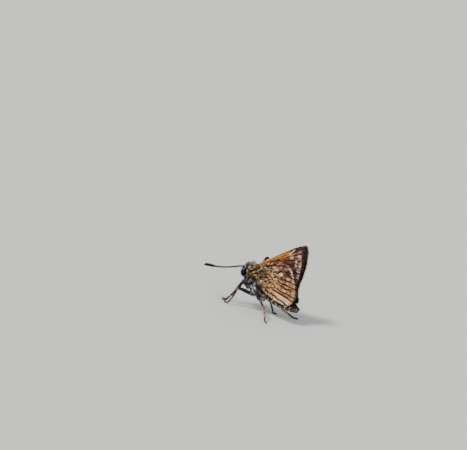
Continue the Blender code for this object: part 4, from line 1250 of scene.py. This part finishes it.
# The legs. A pair's hips: root and end in body coordinates on the right, thickness there, and the
# pairs of spurs on its shins. Each leg's knee, ankle and toe lie in the world, with the distance
# from the midplane in the middle, and its toe lies on the floor.
HIPS = {
    "foreleg": ((3.4, 0.7, -1.0), (4.3, 0.75, -2.3), (0.48, 0.31), 0),
    "midleg": ((5.2, 0.8, -1.8), (6.1, 0.9, -3.0), (0.61, 0.34), 1),
    "hindleg": ((7.0, 0.8, -1.8), (7.9, 0.9, -2.9), (0.61, 0.34), 2),
}
LEGS = {
    ("foreleg", "left"): ((-3.13, -0.5, 6.0), (-4.69, -0.85, 2.73), (-7.4, -0.96)),
    ("foreleg", "right"): ((-3.25, 0.55, 5.9), (-4.95, 0.3, 2.65), (-7.75, 0.0)),
    ("midleg", "left"): ((-3.2, -2.2, 4.5), (-3.84, -2.4, 2.2), (-5.86, -2.22)),
    ("midleg", "right"): ((0.9, 3.3, 4.7), (3.65, 2.95, 1.9), (5.6, 2.75)),
    ("hindleg", "left"): ((2.75, -3.5, 5.0), (6.1, -4.6, 2.75), (8.2, -6.16)),
    ("hindleg", "right"): ((3.4, 3.9, 4.2), (6.2, 3.95, 1.45), (10.2, 5.0)),
}
# A leg's parts: dark and pale tones, how strong the noise must be for the pale one, and the
# scales' number, length, width and lift.
PARTS = {
    "hip": ("2c2628", "8d858c", (0.25, 0.5), (260, 0.4, 0.07, 20)),
    "thigh": ("0e090c", "7f7486", (0.3, 0.5), (700, 0.4, 0.07, 20)),
    "shin": ("211715", "a8897e", (0.42, 0.6), (700, 0.28, 0.07, 20)),
    "foot": ("2a1c1a", "b8968d", (0.0, 0.4), (520, 0.17, 0.06, 10)),
}
THIGH = (0.33, 0.38, 0.29)
SHIN = (0.2, 0.22, 0.18)
TARSUS = 0.19
TARSUS_JOINTS = (0.4, 0.6, 0.75, 0.87)
# How high a toe's middle lies in the solids, and how much of a foot lies flat.
SOLE_HIGH = 0.231
TREAD = 0.85
# The spurs: how far down the shin each pair stands, their length, how far they stand out, and
# their radii. Then the claws' radii.
SPURS_AT = (0.95, 0.53)
SPUR_LONG = 0.8
SPUR_OUT = 0.36
SPUR_RADII = (0.07, 0.02)
CLAW_RADII = (0.04, 0.012)


def leg_colour(points, part, path):
    """The colours of one part of a leg, which runs along a path."""
    dark, pale, reach, _ = PARTS[part]
    colour = laid(rgb(dark), (pale, smooth(*reach, noise(points, (0.25, 0.25, 0.4), 92))))
    if part == "foot":
        tip = smooth(0.5, 0.25, np.linalg.norm(points - path[-1], axis=1))
        colour = laid(colour, ("140f10", 0.9 * tip))
    if part == "shin":
        down = (path[0][2] - points[:, 2]) / (path[0][2] - path[-1][2])
        patchy = smooth(-0.3, 0.1, noise(points, 0.35, 93))
        colour = laid(colour, ("96766e", 0.65 * smooth(0.6, 0.95, down) * patchy))
    return colour


def foot_path(ankle, toe, flat):
    """The foot's line: down from the ankle, then flat on the floor to the toe."""
    heel = toe - flat * TREAD
    bent = heel + (ankle - heel) * 0.16 - (0, 0, 0.12)
    bent[2] = max(bent[2], SOLE_HIGH + 0.05)
    foot = np.array([ankle, (ankle + bent) / 2, bent, heel, (heel + toe) / 2, toe])
    foot[:, 2] -= (SOLE_HIGH - TARSUS) * np.array([0, 0.5, 0.9, 1, 1, 1])
    return spaced(spline(foot, 12), 0.05)


def foot_radii(run):
    """The foot's thickness, which narrows at its joints and at its end."""
    joint = np.abs(run[:, None] - TARSUS_JOINTS).min(1)
    return TARSUS * (0.72 + 0.28 * smooth(0, 0.05, joint)) * (1 - 0.25 * smooth(0.9, 1, run))


def spike(shape, path, radii, tone):
    """A small pointed rod."""
    shape.add(*sweep(path, np.linspace(*radii, len(path)), 8)[:2], rgb(tone))


def make_leg(rng, pair, side_name, knee, ankle, toe):
    root, hip, thick, spurs = HIPS[pair]
    root, hip = (world(np.array(place) * (1, SIDES[side_name], 1)) for place in (root, hip))
    knee, ankle, toe = beside(knee), beside(ankle), beside((*toe, SOLE_HIGH))
    flat = unit((toe - ankle) * (1, 1, 0))
    rods = {
        "hip": (spaced([root, hip], 0.1), thick),
        "thigh": (spaced(spline([hip, (hip + knee) / 2 + (0, 0, 0.08), knee], 10), 0.08), THIGH),
        "shin": (spaced(spline([knee, (knee + ankle) / 2, ankle], 10), 0.08), SHIN),
        "foot": (foot_path(ankle, toe, flat), None),
    }
    skin, coat = Shape(), Shape()
    for k, (part, (path, wide)) in enumerate(rods.items()):
        run = np.linspace(0, 1, len(path))
        radii = np.interp(run, np.linspace(0, 1, len(wide)), wide) if wide else foot_radii(run)
        verts, faces, _, _ = sweep(path, radii)
        colour_of = functools.partial(leg_colour, part=part, path=path)
        # The skin below the scales takes their colours darkened: painted shade below the scales, varied a
        # little by noise.
        shade = 0.75 + 0.1 * noise(verts, 0.25, 91)
        shade[-2:] = 0.75
        skin.add(verts, faces, colour_of(verts) * shade[:, None])
        room = (UNWRAP_FIRST + UNWRAP_PART_STEP * k, UNWRAP_PART)
        coat_of(coat, rng, verts, faces, colour_of, path, room, unit(path[-1] - path[0]), *PARTS[part][3])
    across, out = np.cross(flat, (0, 0, 1)), unit(np.cross(ankle - knee, (0, 0, 1)))
    for way in (-1, 1):
        claw = [toe - (0, 0, SOLE_HIGH - TARSUS), toe + flat * 0.1 + across * 0.05 * way - (0, 0, 0.06),
                toe + flat * 0.2 + across * 0.08 * way - (0, 0, 0.15)]
        spike(skin, spline(claw, 5), CLAW_RADII, "1a100c")
    for down, way in itertools.product(SPURS_AT[:spurs], (-1, 1)):
        begin = knee + (ankle - knee) * down
        end = begin + unit(ankle - knee) * SPUR_LONG + out * way * SPUR_OUT
        spike(skin, spaced([begin, end], 0.1), SPUR_RADII, "8a6a58")
    name = pair + "_" + side_name
    skin.piece(name + "_skin", MATERIALS["leg"], "leg", [name])
    coat.piece(name + "_coat", MATERIALS["fur"], "leg", unwrap=True)


def make_legs():
    rng = np.random.default_rng(SEEDS["legs"])
    for (pair, side_name), line in LEGS.items():
        make_leg(rng, pair, side_name, *line)


def make_setting():
    """A plain pale floor, soft light and the camera with the photo's framing."""
    mesh = bpy.data.meshes.new("floor")
    corners = [(x * FLOOR_HALF, y * FLOOR_HALF, 0) for x, y in ((-1, -1), (1, -1), (1, 1), (-1, 1))]
    mesh.from_pydata(corners, [], [(0, 1, 2, 3)])
    pale = bpy.data.materials.new("floor_pale")
    pale.use_nodes = True
    pale.node_tree.nodes["Principled BSDF"].inputs["Base Color"].default_value = FLOOR_COLOUR
    pale.node_tree.nodes["Principled BSDF"].inputs["Roughness"].default_value = FLOOR_ROUGHNESS
    mesh.materials.append(pale)
    shown("floor", mesh)
    studio = bpy.data.worlds.new("studio")
    studio.use_nodes = True
    studio.node_tree.nodes["Background"].inputs["Color"].default_value = STUDIO_COLOUR
    studio.node_tree.nodes["Background"].inputs["Strength"].default_value = STUDIO_STRENGTH
    bpy.context.scene.world = studio
    for name, (toward, strength, angle) in LAMPS.items():
        lamp = bpy.data.lights.new(name, "SUN")
        lamp.energy, lamp.angle, lamp.color = strength, math.radians(angle), LAMP_COLOUR
        shown(name, lamp).rotation_euler = Vector(toward).to_track_quat("Z", "Y").to_euler()
    lens = bpy.data.cameras.new("camera")
    lens.lens, lens.sensor_width = CAMERA_LENS, SENSOR_WIDTH
    lens.clip_start, lens.clip_end = CAMERA_CLIP
    camera = shown("camera", lens)
    rows = [[*row, place * MM] for row, place in zip(np.array(CAMERA_AXES).T, CAMERA_PLACE)]
    camera.matrix_world = Matrix(rows + [[0, 0, 0, 1]])
    bpy.context.scene.camera = camera


make_wings()
make_body()
make_beard()
make_eyes()
make_palps()
make_antennae()
make_legs()
make_setting()
